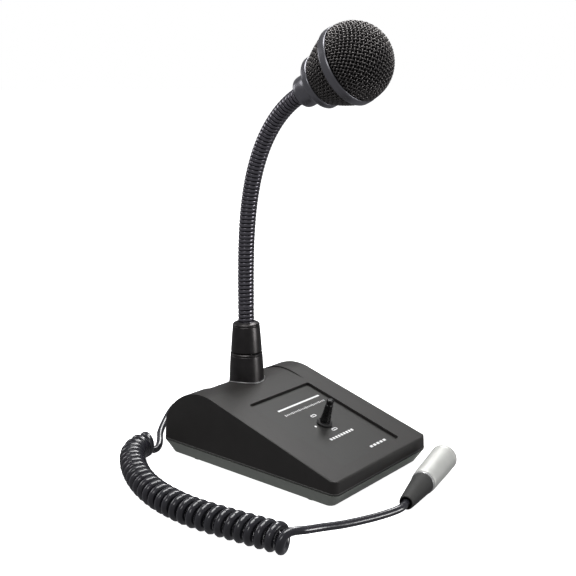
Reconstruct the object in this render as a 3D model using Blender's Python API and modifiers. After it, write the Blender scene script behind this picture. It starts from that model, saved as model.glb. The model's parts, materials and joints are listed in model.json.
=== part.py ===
"""Desk paging microphone: sloped base with a toggle switch, gooseneck, wire grille head, curly cord and plug.

Metres, +Z up, origin on the desk under the middle of the base. The user sits on the -Y side.
"""

import math

import bmesh
import bpy
from mathutils import Matrix, Vector

GAP = 0.0003                      # space kept between pieces that touch

# Base
BASE_WIDTH = 0.1098
BASE_LENGTH = 0.1604
FOOT_HEIGHT = 0.0012
PARTING_HEIGHT = 0.0106
PARTING_GAP = 0.0006
CORNER_RADIUS = 0.005
TRAY_TAPER = 0.004
TRAY_WALL = 0.0022
COVER_WALL = 0.0032
COVER_TOP = 0.060                 # above the highest point of the cover
COVER_DRAFT = 0.973               # cover width at COVER_TOP over its width at the parting line
FRONT_HEIGHT = 0.0199
SLOPE = math.radians(15.75)
REAR_RADIUS = 0.040
EDGE_ROUND = 0.0018
SADDLE_HALF_WIDTH = 0.0354
SADDLE_START = 0.0177
SADDLE_DEPTH = 0.0009
POST_RADIUS = 0.004
POST_PLACES = [(sx * 0.044, y) for y in (-0.066, 0.062) for sx in (-1, 1)]
POST_BOTTOM = 0.0040
POST_TOP_REAR = 0.043
SCREW_HOLE = 0.0018
SCREW_RADIUS = 0.0015
SCREW_TOP = 0.0150
SCREW_HEAD_RADIUS = 0.0029
SCREW_HEAD_HEIGHT = 0.0010
SCREW_SINK = 0.0034
FOOT_RADIUS = 0.0055
FOOT_INWARD = 0.011               # from a screw to its foot, along Y
BOARD_PLACE = -0.052
BOARD_LIFT = 0.0035
BOARD_THICKNESS = 0.0016
CLAMP_PLACE = 0.0645
GLAND_RADIUS = 0.0045             # of the sleeve in the rear wall
GLAND_FLANGE = 0.0062
GLAND_INNER_END = -0.0110

# Panel and switch, in the sloped frame of the panel
PANEL_WIDTH = 0.0666
PANEL_LENGTH = 0.0863
PANEL_CENTRE = -0.02875
PANEL_RADIUS = 0.0018
PANEL_DEPTH = 0.0014
PLATE_THICKNESS = 0.0007
SWITCH_PLACE = -0.0293
BUSHING_RADIUS = 0.0029
LEVER_LENGTH = 0.018
LEVER_FLATNESS = 0.72
LEVER_NECK_RADIUS = 0.0014
PIVOT_LIFT = 0.0020               # of the lever's pivot above the plate
NUT_HEIGHT = 0.0018
NUT_RADIUS = 0.0062
SWITCH_BODY_HEIGHT = 0.0095
TERMINAL_SPACING = 0.0045
TERMINAL_LENGTH = 0.004

# Neck
NECK_PLACE = 0.04525
NECK_RADIUS = 0.006
NECK_START = 0.0932
NECK_LENGTH = 0.186
NECK_BEND = math.radians(65)
NECK_BEND_GROWTH = 2.65           # the bend gathers towards the head
NECK_SEGMENTS = 9
FIRST_PIVOT = 0.004
LAST_REACH = 0.0182               # from the last pivot to the neck's end
NECK_ROOT = -0.0049               # where the neck starts inside the collar
NECK_TOP_OVERLAP = 0.007          # how far it runs on into the ferrule
LINK_CONE = 0.0013
LINK_RIM = 0.25                   # radius of a coned end over the neck's radius
LINK_GAP = 0.000225
SOCKET_FLOOR = 0.0455
SOCKET_RADIUS = 0.0141
COLLAR_SPLIT = 0.0724
COLLAR_TOP = 0.0948

# Head, measured along its own axis from the front of the band
HEAD_RADIUS = 0.027
BAND_WIDTH = 0.006
FLANGE_FRONT = -0.0248
FLANGE_REAR = -0.0301
FLANGE_RADIUS = 0.0184
FERRULE_REAR = -0.0458
FERRULE_RADIUS = 0.0109
GRILLE_WALL = 0.0009
FERRULE_HOLLOW = 0.0082           # depth of the wide bore behind the flange
STUD_BORE = 0.0090
FOAM_THICKNESS_SHARE = 0.2

# Cord and plug
CORD_RADIUS = 0.0025
COIL_RADIUS = 0.00925
CORD_EXIT_HEIGHT = 0.020
RELIEF_END = 0.0925
PLUG_START = Vector((-0.0300, -0.1171, 0.0095))
PLUG_TURN = math.radians(13.7)
BOOT_LENGTH = 0.0325
PLUG_LENGTH = 0.082
PLUG_RADIUS = 0.0095
PLUG_RING_WIDTH = 0.0022
PLUG_STEP = 0.0580                # where the shell's bore widens for the insert
INSERT_LENGTH = 0.0070
PIN_CIRCLE = 0.0038
PIN_RADIUS = 0.0012
PIN_TIP = 0.0770

LEAD_ROUTE = [
    (0.0, 0.0928, 0.0200), (-0.0015, 0.0990, 0.0203), (-0.0065, 0.1035, 0.0206), (-0.0140, 0.1053, 0.0206),
    (-0.0225, 0.1034, 0.0200), (-0.0350, 0.0977, 0.0160), (-0.0478, 0.0904, 0.0110), (-0.0541, 0.0844, 0.0072),
    (-0.0580, 0.0806, 0.0054), (-0.0610, 0.0785, 0.0046), (-0.0631, 0.0782, 0.0045),
]
COIL_ROUTE = [
    (-0.0636, 0.0830), (-0.0750, 0.0828), (-0.0858, 0.0772), (-0.0968, 0.0653), (-0.1081, 0.0478),
    (-0.1163, 0.0305), (-0.1222, 0.0110), (-0.1247, -0.0066), (-0.1253, -0.0214), (-0.1241, -0.0356),
    (-0.1223, -0.0492), (-0.1201, -0.0633), (-0.1178, -0.0774), (-0.1152, -0.0913),
]
TAIL_ROUTE = [
    (-0.11514, -0.0916, 0.0160), (-0.1148, -0.0932, 0.0160), (-0.1128, -0.0955, 0.0158),
    (-0.1090, -0.0968, 0.0150), (-0.0960, -0.1000, 0.0128), (-0.0795, -0.1058, 0.0106),
    (-0.0610, -0.1118, 0.0092), (-0.0480, -0.1158, 0.0089), (-0.0390, -0.1183, 0.0093),
    (-0.0333, -0.1179, 0.0095), (-0.0303, -0.1172, 0.0095),
]


def clear_scene():
    for thing in list(bpy.data.objects):
        bpy.data.objects.remove(thing, do_unlink=True)


def new_collection(name):
    collection = bpy.data.collections.new(name)
    bpy.context.scene.collection.children.link(collection)
    return collection


def new_material(name, colour, roughness, metallic=0.0):
    material = bpy.data.materials.new(name)
    material.use_nodes = True
    shader = material.node_tree.nodes["Principled BSDF"]
    shader.inputs["Base Color"].default_value = (*colour, 1.0)
    shader.inputs["Roughness"].default_value = roughness
    shader.inputs["Metallic"].default_value = metallic
    material.diffuse_color = (*colour, 1.0)
    return material


clear_scene()
PARTS = new_collection("desk_paging_microphone")
CUTTERS = new_collection("cutters")

COVER_PAINT = ("cover_paint", (0.075, 0.076, 0.072), 0.5, 0.0)
TRAY_PLASTIC = ("tray_plastic", (0.16, 0.165, 0.155), 0.55, 0.0)
DARK_METAL = ("dark_metal", (0.07, 0.07, 0.078), 0.35, 1.0)
RING_METAL = ("ring_metal", (0.20, 0.20, 0.215), 0.35, 1.0)
BLACK_PLASTIC = ("black_plastic", (0.012, 0.012, 0.012), 0.4, 0.0)
BLACK_RUBBER = ("black_rubber", (0.015, 0.015, 0.016), 0.75, 0.0)
BRIGHT_STEEL = ("bright_steel", (0.62, 0.62, 0.60), 0.25, 1.0)
SATIN_SILVER = ("satin_silver", (0.60, 0.61, 0.58), 0.3, 1.0)
BOARD_GREEN = ("board_green", (0.02, 0.10, 0.04), 0.5, 0.0)
BRASS = ("brass", (0.62, 0.42, 0.16), 0.3, 1.0)
GREY_FOAM = ("grey_foam", (0.03, 0.03, 0.03), 0.95, 0.0)
CORD_JACKET = ("cord_jacket", (0.014, 0.014, 0.018), 0.3, 0.0)


def add_part(name, data, finish, place=(0, 0, 0), turn=(0, 0, 0), parent=None):
    """One object of the part, with its own material."""
    thing = bpy.data.objects.new(name, data)
    PARTS.objects.link(thing)
    label, colour, roughness, metallic = finish
    data.materials.clear()
    data.materials.append(new_material(f"{name}_{label}", colour, roughness, metallic))
    thing.location = place
    thing.rotation_euler = turn
    thing.parent = parent
    return thing


def add_frame(name, place, turn, parent=None):
    """An empty that carries the pieces drawn in its frame."""
    frame = bpy.data.objects.new(name, None)
    PARTS.objects.link(frame)
    frame.location = place
    frame.rotation_euler = turn
    frame.parent = parent
    return frame


def prism_mesh(name, outline, low, high, holes=()):
    """A mesh with the given flat outline, from low to high along Z."""
    curve = bpy.data.curves.new(name, "CURVE")
    curve.dimensions = "2D"
    curve.fill_mode = "BOTH"
    curve.extrude = (high - low) / 2
    for points in [outline, *holes]:
        spline = curve.splines.new("POLY")
        spline.points.add(len(points) - 1)
        for point, (x, y) in zip(spline.points, points):
            point.co = (x, y, 0, 1)
        spline.use_cyclic_u = True
    drawn = bpy.data.objects.new(name, curve)
    mesh = bpy.data.meshes.new_from_object(drawn)
    bpy.data.objects.remove(drawn)
    welded = bmesh.new()
    welded.from_mesh(mesh)
    bmesh.ops.remove_doubles(welded, verts=welded.verts, dist=0.00001)
    bmesh.ops.translate(welded, verts=welded.verts, vec=(0, 0, (low + high) / 2))
    welded.to_mesh(mesh)
    welded.free()
    mesh.name = name
    return mesh


def rounded_rectangle(width, length, radius, steps=4):
    points = []
    for corner in range(4):
        sx = (1, -1, -1, 1)[corner]
        sy = (1, 1, -1, -1)[corner]
        for step in range(steps + 1):
            angle = math.pi / 2 * (corner + step / steps)
            x = sx * (width / 2 - radius) + radius * math.cos(angle)
            y = sy * (length / 2 - radius) + radius * math.sin(angle)
            points.append((x, y))
    return points


def circle(radius, x=0.0, y=0.0, steps=24):
    turns = [2 * math.pi * step / steps for step in range(steps)]
    return [(x + radius * math.cos(angle), y + radius * math.sin(angle)) for angle in turns]


def taper(mesh, low, high, scale_low, scale_high):
    """Scale a mesh in X and Y, evenly from one height to another."""
    for vertex in mesh.vertices:
        share = (vertex.co.z - low) / (high - low)
        scale = scale_low + (scale_high - scale_low) * share
        vertex.co.x *= scale
        vertex.co.y *= scale
    return mesh


def turned_mesh(name, profile, closed=True):
    """An edge mesh of (radius, height) points for the Screw modifier."""
    count = len(profile)
    edges = [(i, (i + 1) % count) for i in range(count if closed else count - 1)]
    mesh = bpy.data.meshes.new(name)
    mesh.from_pydata([(radius, 0, height) for radius, height in profile], edges, [])
    return mesh


def add_turned(name, profile, finish, place=(0, 0, 0), turn=(0, 0, 0), parent=None, closed=True, steps=32):
    """A turned piece. The profile runs down its outer side, then back up its bore, or from axis to axis."""
    thing = add_part(name, turned_mesh(name, profile, closed), finish, place, turn, parent)
    screw = thing.modifiers.new("turn", "SCREW")
    screw.axis = "Z"
    screw.steps = steps
    screw.render_steps = steps
    screw.use_merge_vertices = True
    screw.merge_threshold = 0.00001
    return thing


def add_cylinder(name, radius, low, high, finish, place=(0, 0, 0), turn=(0, 0, 0), parent=None, steps=32):
    profile = [(0, high), (radius, high), (radius, low), (0, low)]
    return add_turned(name, profile, finish, place, turn, parent, closed=False, steps=steps)


def add_ring(name, outer, inner, low, high, finish, place=(0, 0, 0), turn=(0, 0, 0), parent=None, steps=32):
    profile = [(outer, high), (outer, low), (inner, low), (inner, high)]
    return add_turned(name, profile, finish, place, turn, parent, steps=steps)


def add_tube(name, points, radius, finish, place=(0, 0, 0), parent=None, radii=None, sides=2):
    """A round bar along a line of points, closed at both ends."""
    curve = bpy.data.curves.new(name, "CURVE")
    curve.dimensions = "3D"
    curve.bevel_depth = radius
    curve.bevel_resolution = sides
    curve.use_fill_caps = True
    spline = curve.splines.new("POLY")
    spline.points.add(len(points) - 1)
    for index, point in enumerate(points):
        spline.points[index].co = (*point, 1)
        spline.points[index].radius = radii[index] if radii else 1.0
    return add_part(name, curve, finish, place, parent=parent)


def bevel(thing, width, segments=2, angle=40):
    modifier = thing.modifiers.new("rounding", "BEVEL")
    modifier.width = width
    modifier.segments = segments
    modifier.limit_method = "ANGLE"
    modifier.angle_limit = math.radians(angle)


def add_cutter(name, mesh, place=(0, 0, 0), turn=(0, 0, 0), parent=None):
    cutter = bpy.data.objects.new(name, mesh)
    CUTTERS.objects.link(cutter)
    cutter.location = place
    cutter.rotation_euler = turn
    cutter.parent = parent
    cutter.hide_render = True
    cutter.display_type = "WIRE"
    return cutter


def combine(thing, cutter, operation="DIFFERENCE"):
    modifier = thing.modifiers.new(cutter.name, "BOOLEAN")
    modifier.operation = operation
    modifier.solver = "EXACT"
    modifier.object = cutter


def drill(thing, name, radius, low, high, place=(0, 0, 0), turn=(0, 0, 0), parent=None, steps=24):
    mesh = prism_mesh(name, circle(radius, steps=steps), low, high)
    combine(thing, add_cutter(name, mesh, place, turn, parent))


def smooth_route(points, spacing):
    """Points read at an even spacing from a smooth curve through the route's points."""
    knots = [Vector(point) for point in points]
    knots = [2 * knots[0] - knots[1], *knots, 2 * knots[-1] - knots[-2]]
    line = [knots[1]]
    for before, start, end, after in zip(knots, knots[1:], knots[2:], knots[3:]):
        count = max(1, round((end - start).length / spacing))
        for step in range(1, count + 1):
            t = step / count
            bend = (2 * before - 5 * start + 4 * end - after) * t * t
            twist = (3 * (start - end) + after - before) * t ** 3
            line.append((2 * start + (end - before) * t + bend + twist) / 2)
    return line


# Base: cover, tray and what they hold

def slope_height(y):
    return FRONT_HEIGHT + math.tan(SLOPE) * (y + BASE_LENGTH / 2)


ARC_CENTRE_Y = BASE_LENGTH / 2 - REAR_RADIUS
ARC_CENTRE_Z = slope_height(ARC_CENTRE_Y) - REAR_RADIUS / math.cos(SLOPE)


def rear_arc(inset, steps=16):
    """The round back of the cover, from the top of the slope down to its lowest tangent."""
    radius = REAR_RADIUS - inset
    turns = [-SLOPE + (math.pi / 2 + SLOPE) * step / steps for step in range(steps + 1)]
    return [(ARC_CENTRE_Y + radius * math.sin(a), ARC_CENTRE_Z + radius * math.cos(a)) for a in turns]


def side_outline(inset, bottom):
    front = inset - BASE_LENGTH / 2
    front_top = slope_height(front) - inset / math.cos(SLOPE)
    arc = rear_arc(inset)
    return [(front, bottom), (front, front_top), *arc, (arc[-1][0], bottom)]


def sideways(mesh):
    """Stand an outline drawn as (Y, Z) upright, with its thickness along X."""
    mesh.transform(Matrix(((0, 0, 1, 0), (1, 0, 0, 0), (0, 1, 0, 0), (0, 0, 0, 1))))
    return mesh


def saddle_outline():
    """The thin layer taken off between the side rails, from the panel over the round back."""
    inner = rear_arc(SADDLE_DEPTH)
    outer = rear_arc(-0.003)
    start = (SADDLE_START, slope_height(SADDLE_START))
    return [start, *inner, *reversed(outer), (SADDLE_START, slope_height(SADDLE_START) + 0.003)]


def panel_frame_place(y):
    return (0, y, slope_height(y))


def build_cover():
    outline = side_outline(0, 0)
    mesh = sideways(prism_mesh("top_cover", outline, -BASE_WIDTH / 2, BASE_WIDTH / 2))
    cover = add_part("top_cover", mesh, COVER_PAINT)
    bevel(cover, EDGE_ROUND, segments=3)
    low = PARTING_HEIGHT + PARTING_GAP
    plan = rounded_rectangle(BASE_WIDTH, BASE_LENGTH, CORNER_RADIUS)
    envelope = taper(prism_mesh("cover_plan", plan, low, COVER_TOP), low, COVER_TOP, 1, COVER_DRAFT)
    combine(cover, add_cutter("cover_plan", envelope), "INTERSECT")
    inner = side_outline(COVER_WALL, -0.01)
    half = BASE_WIDTH / 2 - COVER_WALL
    cavity = add_cutter("cover_cavity", sideways(prism_mesh("cover_cavity", inner, -half, half)))
    socket = prism_mesh("neck_socket", circle(0.0170, y=NECK_PLACE), 0.036, COVER_TOP)
    combine(cavity, add_cutter("neck_socket", socket))
    combine(cover, cavity)
    for index, (x, y) in enumerate(POST_PLACES):
        top = slope_height(y) - COVER_WALL / 2 if y < 0 else POST_TOP_REAR
        post = prism_mesh(f"post_{index + 1}", circle(POST_RADIUS, x, y, 16), POST_BOTTOM, top)
        combine(cover, add_cutter(f"post_{index + 1}", post), "UNION")
        drill(cover, f"post_hole_{index + 1}", SCREW_HOLE, 0, 0.018, (x, y, 0), steps=12)
    half = SADDLE_HALF_WIDTH
    combine(cover, add_cutter("saddle", sideways(prism_mesh("saddle", saddle_outline(), -half, half))))
    drill(cover, "collar_socket", SOCKET_RADIUS, SOCKET_FLOOR, 0.065, (0, NECK_PLACE, 0), steps=32)
    drill(cover, "stem_hole", NECK_RADIUS + GAP, 0.03, 0.06, (0, NECK_PLACE, 0))
    pocket = rounded_rectangle(PANEL_WIDTH, PANEL_LENGTH, PANEL_RADIUS)
    depth = PANEL_DEPTH + PLATE_THICKNESS + GAP
    mesh = prism_mesh("panel_pocket", pocket, -depth, 0.004)
    combine(cover, add_cutter("panel_pocket", mesh, panel_frame_place(PANEL_CENTRE), (SLOPE, 0, 0)))
    hole = BUSHING_RADIUS + GAP
    drill(cover, "switch_hole", hole, -0.01, 0.004, panel_frame_place(SWITCH_PLACE), (SLOPE, 0, 0))
    place = (0, BASE_LENGTH / 2, CORD_EXIT_HEIGHT)
    drill(cover, "cord_hole", GLAND_RADIUS + GAP, -0.02, 0.02, place, (math.pi / 2, 0, 0))


def build_panel_plate():
    plan = rounded_rectangle(PANEL_WIDTH - 2 * GAP, PANEL_LENGTH - 2 * GAP, PANEL_RADIUS)
    offset = (SWITCH_PLACE - PANEL_CENTRE) / math.cos(SLOPE)
    hole = circle(BUSHING_RADIUS + GAP, 0, offset)
    top = -PANEL_DEPTH
    mesh = prism_mesh("panel_plate", plan, top - PLATE_THICKNESS, top, [hole])
    add_part("panel_plate", mesh, COVER_PAINT, panel_frame_place(PANEL_CENTRE), (SLOPE, 0, 0))


def build_tray():
    narrow = 1 - 2 * TRAY_TAPER / BASE_WIDTH
    plan = rounded_rectangle(BASE_WIDTH, BASE_LENGTH, CORNER_RADIUS)
    solid = prism_mesh("base_tray", plan, FOOT_HEIGHT, PARTING_HEIGHT)
    tray = add_part("base_tray", taper(solid, FOOT_HEIGHT, PARTING_HEIGHT, narrow, 1), TRAY_PLASTIC)
    floor = FOOT_HEIGHT + TRAY_WALL
    width = BASE_WIDTH - 2 * TRAY_WALL
    length = BASE_LENGTH - 2 * TRAY_WALL
    hollow = prism_mesh("tray_hollow", rounded_rectangle(width, length, 0.003), floor, 0.02)
    combine(tray, add_cutter("tray_hollow", taper(hollow, floor, PARTING_HEIGHT, narrow, 1)))
    for index, (x, y) in enumerate(POST_PLACES):
        drill(tray, f"tray_hole_{index + 1}", SCREW_HOLE, 0, 0.006, (x, y, 0), steps=12)
        drill(tray, f"tray_sink_{index + 1}", SCREW_SINK, 0, FOOT_HEIGHT + 0.0014, (x, y, 0), steps=16)


def build_feet_and_screws():
    screw = [(0, SCREW_TOP), (SCREW_RADIUS, SCREW_TOP), (SCREW_RADIUS, SCREW_HEAD_HEIGHT),
             (SCREW_HEAD_RADIUS, SCREW_HEAD_HEIGHT), (SCREW_HEAD_RADIUS, 0), (0, 0)]
    lift = FOOT_HEIGHT + 0.0001
    for index, (x, y) in enumerate(POST_PLACES):
        add_turned(f"case_screw_{index + 1}", screw, DARK_METAL, (x, y, lift), closed=False, steps=16)
        place = (x, y - math.copysign(FOOT_INWARD, y), 0)
        add_cylinder(f"foot_{index + 1}", FOOT_RADIUS, 0, FOOT_HEIGHT - GAP, BLACK_RUBBER, place, steps=24)


def build_base_contents():
    floor = FOOT_HEIGHT + TRAY_WALL + GAP
    ballast = prism_mesh("ballast_plate", rounded_rectangle(0.078, 0.090, 0.004), floor, floor + 0.005)
    add_part("ballast_plate", ballast, DARK_METAL, (0, 0.008, 0))
    low = floor + BOARD_LIFT
    high = low + BOARD_THICKNESS
    board = prism_mesh("circuit_board", rounded_rectangle(0.050, 0.018, 0.001, 2), low, high)
    add_part("circuit_board", board, BOARD_GREEN, (0, BOARD_PLACE, 0))
    block = prism_mesh("terminal_block", rounded_rectangle(0.020, 0.008, 0.0008, 2), 0, 0.005)
    add_part("terminal_block", block, BLACK_PLASTIC, (0, BOARD_PLACE, high + GAP))
    block = prism_mesh("cord_clamp", rounded_rectangle(0.016, 0.005, 0.0008, 2), floor, CORD_EXIT_HEIGHT + 0.006)
    clamp = add_part("cord_clamp", block, BLACK_PLASTIC, (0, CLAMP_PLACE, 0))
    place = (0, CLAMP_PLACE, CORD_EXIT_HEIGHT)
    drill(clamp, "clamp_hole", CORD_RADIUS + GAP, -0.02, 0.02, place, (math.pi / 2, 0, 0))


def build_strain_relief():
    """Gland in the rear wall: a sleeve through the hole, a flange outside and a tapered tail for the cord."""
    bore = CORD_RADIUS + GAP
    tail = RELIEF_END - BASE_LENGTH / 2
    profile = [
        (0.0034, tail), (0.0042, 0.0031), (GLAND_FLANGE, 0.0028), (GLAND_FLANGE, 0.0006), (GLAND_RADIUS, 0.0006),
        (GLAND_RADIUS, GLAND_INNER_END), (bore, GLAND_INNER_END), (bore, tail),
    ]
    place = (0, BASE_LENGTH / 2, CORD_EXIT_HEIGHT)
    add_turned("strain_relief", profile, BLACK_RUBBER, place, (-math.pi / 2, 0, 0), steps=24)


# Switch, drawn along the panel's normal with its pivot at the frame's origin

def build_switch():
    pivot = PIVOT_LIFT - PANEL_DEPTH
    normal = Matrix.Rotation(SLOPE, 3, "X") @ Vector((0, 0, 1))
    frame = add_frame("switch_frame", Vector(panel_frame_place(SWITCH_PLACE)) + normal * pivot, (SLOPE, 0, 0))
    nut_low = GAP - PIVOT_LIFT
    nut_top = nut_low + NUT_HEIGHT
    body_top = -(COVER_WALL + pivot) - GAP
    body_low = body_top - SWITCH_BODY_HEIGHT
    hole = BUSHING_RADIUS + GAP
    nut = [
        (0.0056, nut_top), (NUT_RADIUS, nut_top - 0.0006), (NUT_RADIUS, nut_low), (hole, nut_low), (hole, nut_top),
    ]
    add_turned("switch_nut", nut, BLACK_PLASTIC, parent=frame)
    add_ring("switch_bushing", BUSHING_RADIUS, 0.0021, body_top + GAP, nut_top + 0.0006, DARK_METAL, parent=frame)
    body = prism_mesh("switch_body", rounded_rectangle(0.0082, 0.0132, 0.0006, 2), body_low, body_top)
    add_part("switch_body", body, BLACK_PLASTIC, parent=frame)
    for index in range(3):
        name = f"switch_terminal_{index + 1}"
        top = body_low - GAP
        tab = prism_mesh(name, rounded_rectangle(0.002, 0.0008, 0.0002, 1), top - TERMINAL_LENGTH, top)
        add_part(name, tab, BRASS, (0, (index - 1) * TERMINAL_SPACING, 0), parent=frame)
    tip = nut_top + LEVER_LENGTH
    shoulder = nut_top + 0.0014
    paddle = [
        (0, tip), (0.0017, tip), (0.0022, tip - 0.0006), (0.0027, shoulder + 0.0008), (0.0019, shoulder),
        (0, shoulder),
    ]
    lever = add_turned("switch_lever", paddle, BLACK_PLASTIC, parent=frame, closed=False, steps=24)
    lever.scale = (1.0, LEVER_FLATNESS, 1.0)
    neck = prism_mesh("lever_neck", circle(LEVER_NECK_RADIUS), body_top + 0.0008, shoulder + 0.002)
    combine(lever, add_cutter("lever_neck", neck, parent=frame), "UNION")
    across = (0, math.pi / 2, 0)
    drill(lever, "lever_pin_hole", 0.0008, -0.004, 0.004, turn=across, parent=frame, steps=12)
    add_cylinder("lever_pin", 0.0005, -0.0018, 0.0018, BRIGHT_STEEL, turn=across, parent=frame, steps=12)


# Neck

def neck_line(count=465):
    """Points of the neck's centreline, one every NECK_LENGTH / count, from the collar to the head."""
    step = NECK_LENGTH / count
    line = [Vector((0, NECK_PLACE, NECK_START))]
    for index in range(count):
        angle = NECK_BEND * ((index + 0.5) / count) ** NECK_BEND_GROWTH
        line.append(line[-1] + step * Vector((0, -math.sin(angle), math.cos(angle))))
    return line


NECK_LINE = neck_line()


def neck_point(distance):
    """A place on the centreline. It carries on straight past both ends."""
    share = min(max(distance / NECK_LENGTH, 0), 1)
    position = share * (len(NECK_LINE) - 1)
    index = min(int(position), len(NECK_LINE) - 2)
    point = NECK_LINE[index].lerp(NECK_LINE[index + 1], position - index)
    direction = (NECK_LINE[index + 1] - NECK_LINE[index]).normalized()
    return point + direction * (distance - share * NECK_LENGTH)


HEAD_AXIS = Vector((0, -math.sin(NECK_BEND), math.cos(NECK_BEND)))
HEAD_PLACE = NECK_LINE[-1] - HEAD_AXIS * FERRULE_REAR
PIVOT_STEP = (NECK_LENGTH - LAST_REACH - FIRST_PIVOT) / NECK_SEGMENTS


def pivot_distance(index):
    return FIRST_PIVOT + PIVOT_STEP * index


def add_neck_piece(name, start, end, origin, cone_start=True, cone_end=True):
    """One link of the neck. A coned end leaves room for its neighbour to lean."""
    stops = [start + LINK_GAP, start + LINK_CONE, (2 * start + end) / 3, (start + 2 * end) / 3, end - LINK_CONE,
             end - LINK_GAP]
    radii = [LINK_RIM if cone_start else 1, 1, 1, 1, 1, LINK_RIM if cone_end else 1]
    points = [neck_point(stop) - origin for stop in stops]
    add_tube(name, points, NECK_RADIUS, DARK_METAL, origin, radii=radii, sides=6)


def build_neck():
    first = pivot_distance(0)
    add_neck_piece("gooseneck_root", NECK_ROOT, first, neck_point(first), cone_start=False)
    for index in range(NECK_SEGMENTS):
        start = pivot_distance(index)
        add_neck_piece(f"gooseneck_segment_{index + 1}", start, pivot_distance(index + 1), neck_point(start))
    last = pivot_distance(NECK_SEGMENTS)
    add_neck_piece("gooseneck_tip", last, NECK_LENGTH + NECK_TOP_OVERLAP, neck_point(last), cone_end=False)


def build_collars():
    place = (0, NECK_PLACE, 0)
    bore = NECK_RADIUS + GAP
    lower = [(0.0117, COLLAR_SPLIT - GAP), (0.0121, COLLAR_SPLIT - 0.0010), (0.0135, SOCKET_FLOOR + GAP),
             (bore, SOCKET_FLOOR + GAP), (bore, COLLAR_SPLIT - GAP)]
    add_turned("lower_collar", lower, DARK_METAL, place)
    upper = [(0.0084, COLLAR_TOP), (0.0100, COLLAR_TOP - 0.0012), (0.0117, COLLAR_SPLIT + 0.0006),
             (0.0113, COLLAR_SPLIT), (bore, COLLAR_SPLIT), (bore, COLLAR_TOP)]
    add_turned("upper_collar", upper, DARK_METAL, place)
    stem_top = NECK_START - 0.0052
    add_ring("neck_stem", NECK_RADIUS, 0.0040, 0.0260, stem_top, BRIGHT_STEEL, place)
    add_ring("neck_washer", 0.0110, bore, 0.0345, 0.0357, BRIGHT_STEEL, place)
    nut = prism_mesh("neck_nut", circle(0.0092, steps=6), 0.0292, 0.0342, [circle(bore, steps=32)])
    add_part("neck_nut", nut, BRIGHT_STEEL, place)


# Head, drawn along its own axis

def dome_profile(outer, inner, base, steps=8):
    """Outer quarter round from the axis down to the base, then the inner one back up to the axis."""
    turns = [math.pi / 2 * step / steps for step in range(steps + 1)]
    down = [(outer * math.sin(angle), base + outer * math.cos(angle)) for angle in turns]
    up = [(inner * math.cos(angle), base + inner * math.sin(angle)) for angle in turns]
    return [(0, base + outer), *down[1:], *up[:-1], (0, base + inner)]


def build_head():
    frame = add_frame("head_frame", HEAD_PLACE, (NECK_BEND, 0, 0))
    bore = NECK_RADIUS + GAP
    ferrule = [
        (0.0150, FLANGE_REAR - GAP), (0.0126, FLANGE_REAR - 0.0022), (0.0112, FLANGE_REAR - 0.0050),
        (FERRULE_RADIUS, FLANGE_REAR - 0.0070), (FERRULE_RADIUS, FERRULE_REAR + 0.0028),
        (0.0098, FERRULE_REAR + 0.0008), (0.0084, FERRULE_REAR), (bore, FERRULE_REAR),
        (bore, FLANGE_REAR - FERRULE_HOLLOW), (STUD_BORE, FLANGE_REAR - FERRULE_HOLLOW),
        (STUD_BORE, FLANGE_REAR - GAP),
    ]
    add_turned("head_ferrule", ferrule, RING_METAL, parent=frame)
    stud_low = FLANGE_REAR - FERRULE_HOLLOW + GAP
    add_ring("head_stud", STUD_BORE - GAP, 0.0045, stud_low, FLANGE_FRONT + 0.0060, BRIGHT_STEEL, parent=frame)
    flange = [
        (FLANGE_RADIUS - 0.0006, FLANGE_FRONT), (FLANGE_RADIUS, FLANGE_FRONT - 0.0006),
        (FLANGE_RADIUS, FLANGE_REAR + 0.0012), (FLANGE_RADIUS - 0.0012, FLANGE_REAR), (STUD_BORE, FLANGE_REAR),
        (STUD_BORE, FLANGE_FRONT),
    ]
    add_turned("flange_ring", flange, RING_METAL, parent=frame)
    outer = [
        (0.0262, -BAND_WIDTH - GAP), (0.0247, -0.0105), (0.0222, -0.0165), (0.0180, FLANGE_FRONT + GAP),
    ]
    inner = [(radius - GRILLE_WALL, height) for radius, height in reversed(outer)]
    add_turned("rear_grille", outer + inner, DARK_METAL, parent=frame)
    band = [
        (HEAD_RADIUS - 0.0007, 0), (HEAD_RADIUS, -0.0008), (HEAD_RADIUS, 0.0008 - BAND_WIDTH),
        (HEAD_RADIUS - 0.0007, -BAND_WIDTH), (0.0240, -BAND_WIDTH), (0.0240, 0),
    ]
    add_turned("band_ring", band, RING_METAL, parent=frame, steps=48)
    outer = HEAD_RADIUS - 0.0004
    shell = outer - GRILLE_WALL
    add_turned("front_grille", dome_profile(outer, shell, GAP), DARK_METAL, parent=frame, closed=False)
    foam = shell - 3 * GAP
    liner = dome_profile(foam, (1 - FOAM_THICKNESS_SHARE) * foam, GAP)
    add_turned("foam_liner", liner, GREY_FOAM, parent=frame, closed=False)
    capsule = [(0, 0.0080), (0.0120, 0.0080), (0.0140, 0.0065), (0.0140, -0.0120), (0, -0.0120)]
    add_turned("capsule", capsule, BRIGHT_STEEL, parent=frame, closed=False, steps=24)
    add_ring("capsule_mount", 0.0237, 0.0143, -0.0052, -0.0012, BLACK_RUBBER, parent=frame, steps=24)


# Cord and plug

def build_cord():
    add_tube("cord_lead", smooth_route(LEAD_ROUTE, 0.006), CORD_RADIUS, CORD_JACKET, sides=2)
    height = COIL_RADIUS + 0.0001
    coil = smooth_route([(x, y, height) for x, y in COIL_ROUTE], 0.010)
    add_tube("curly_coil", coil, COIL_RADIUS, CORD_JACKET, sides=6)
    add_tube("cord_tail", smooth_route(TAIL_ROUTE, 0.005), CORD_RADIUS, CORD_JACKET, sides=2)


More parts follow.
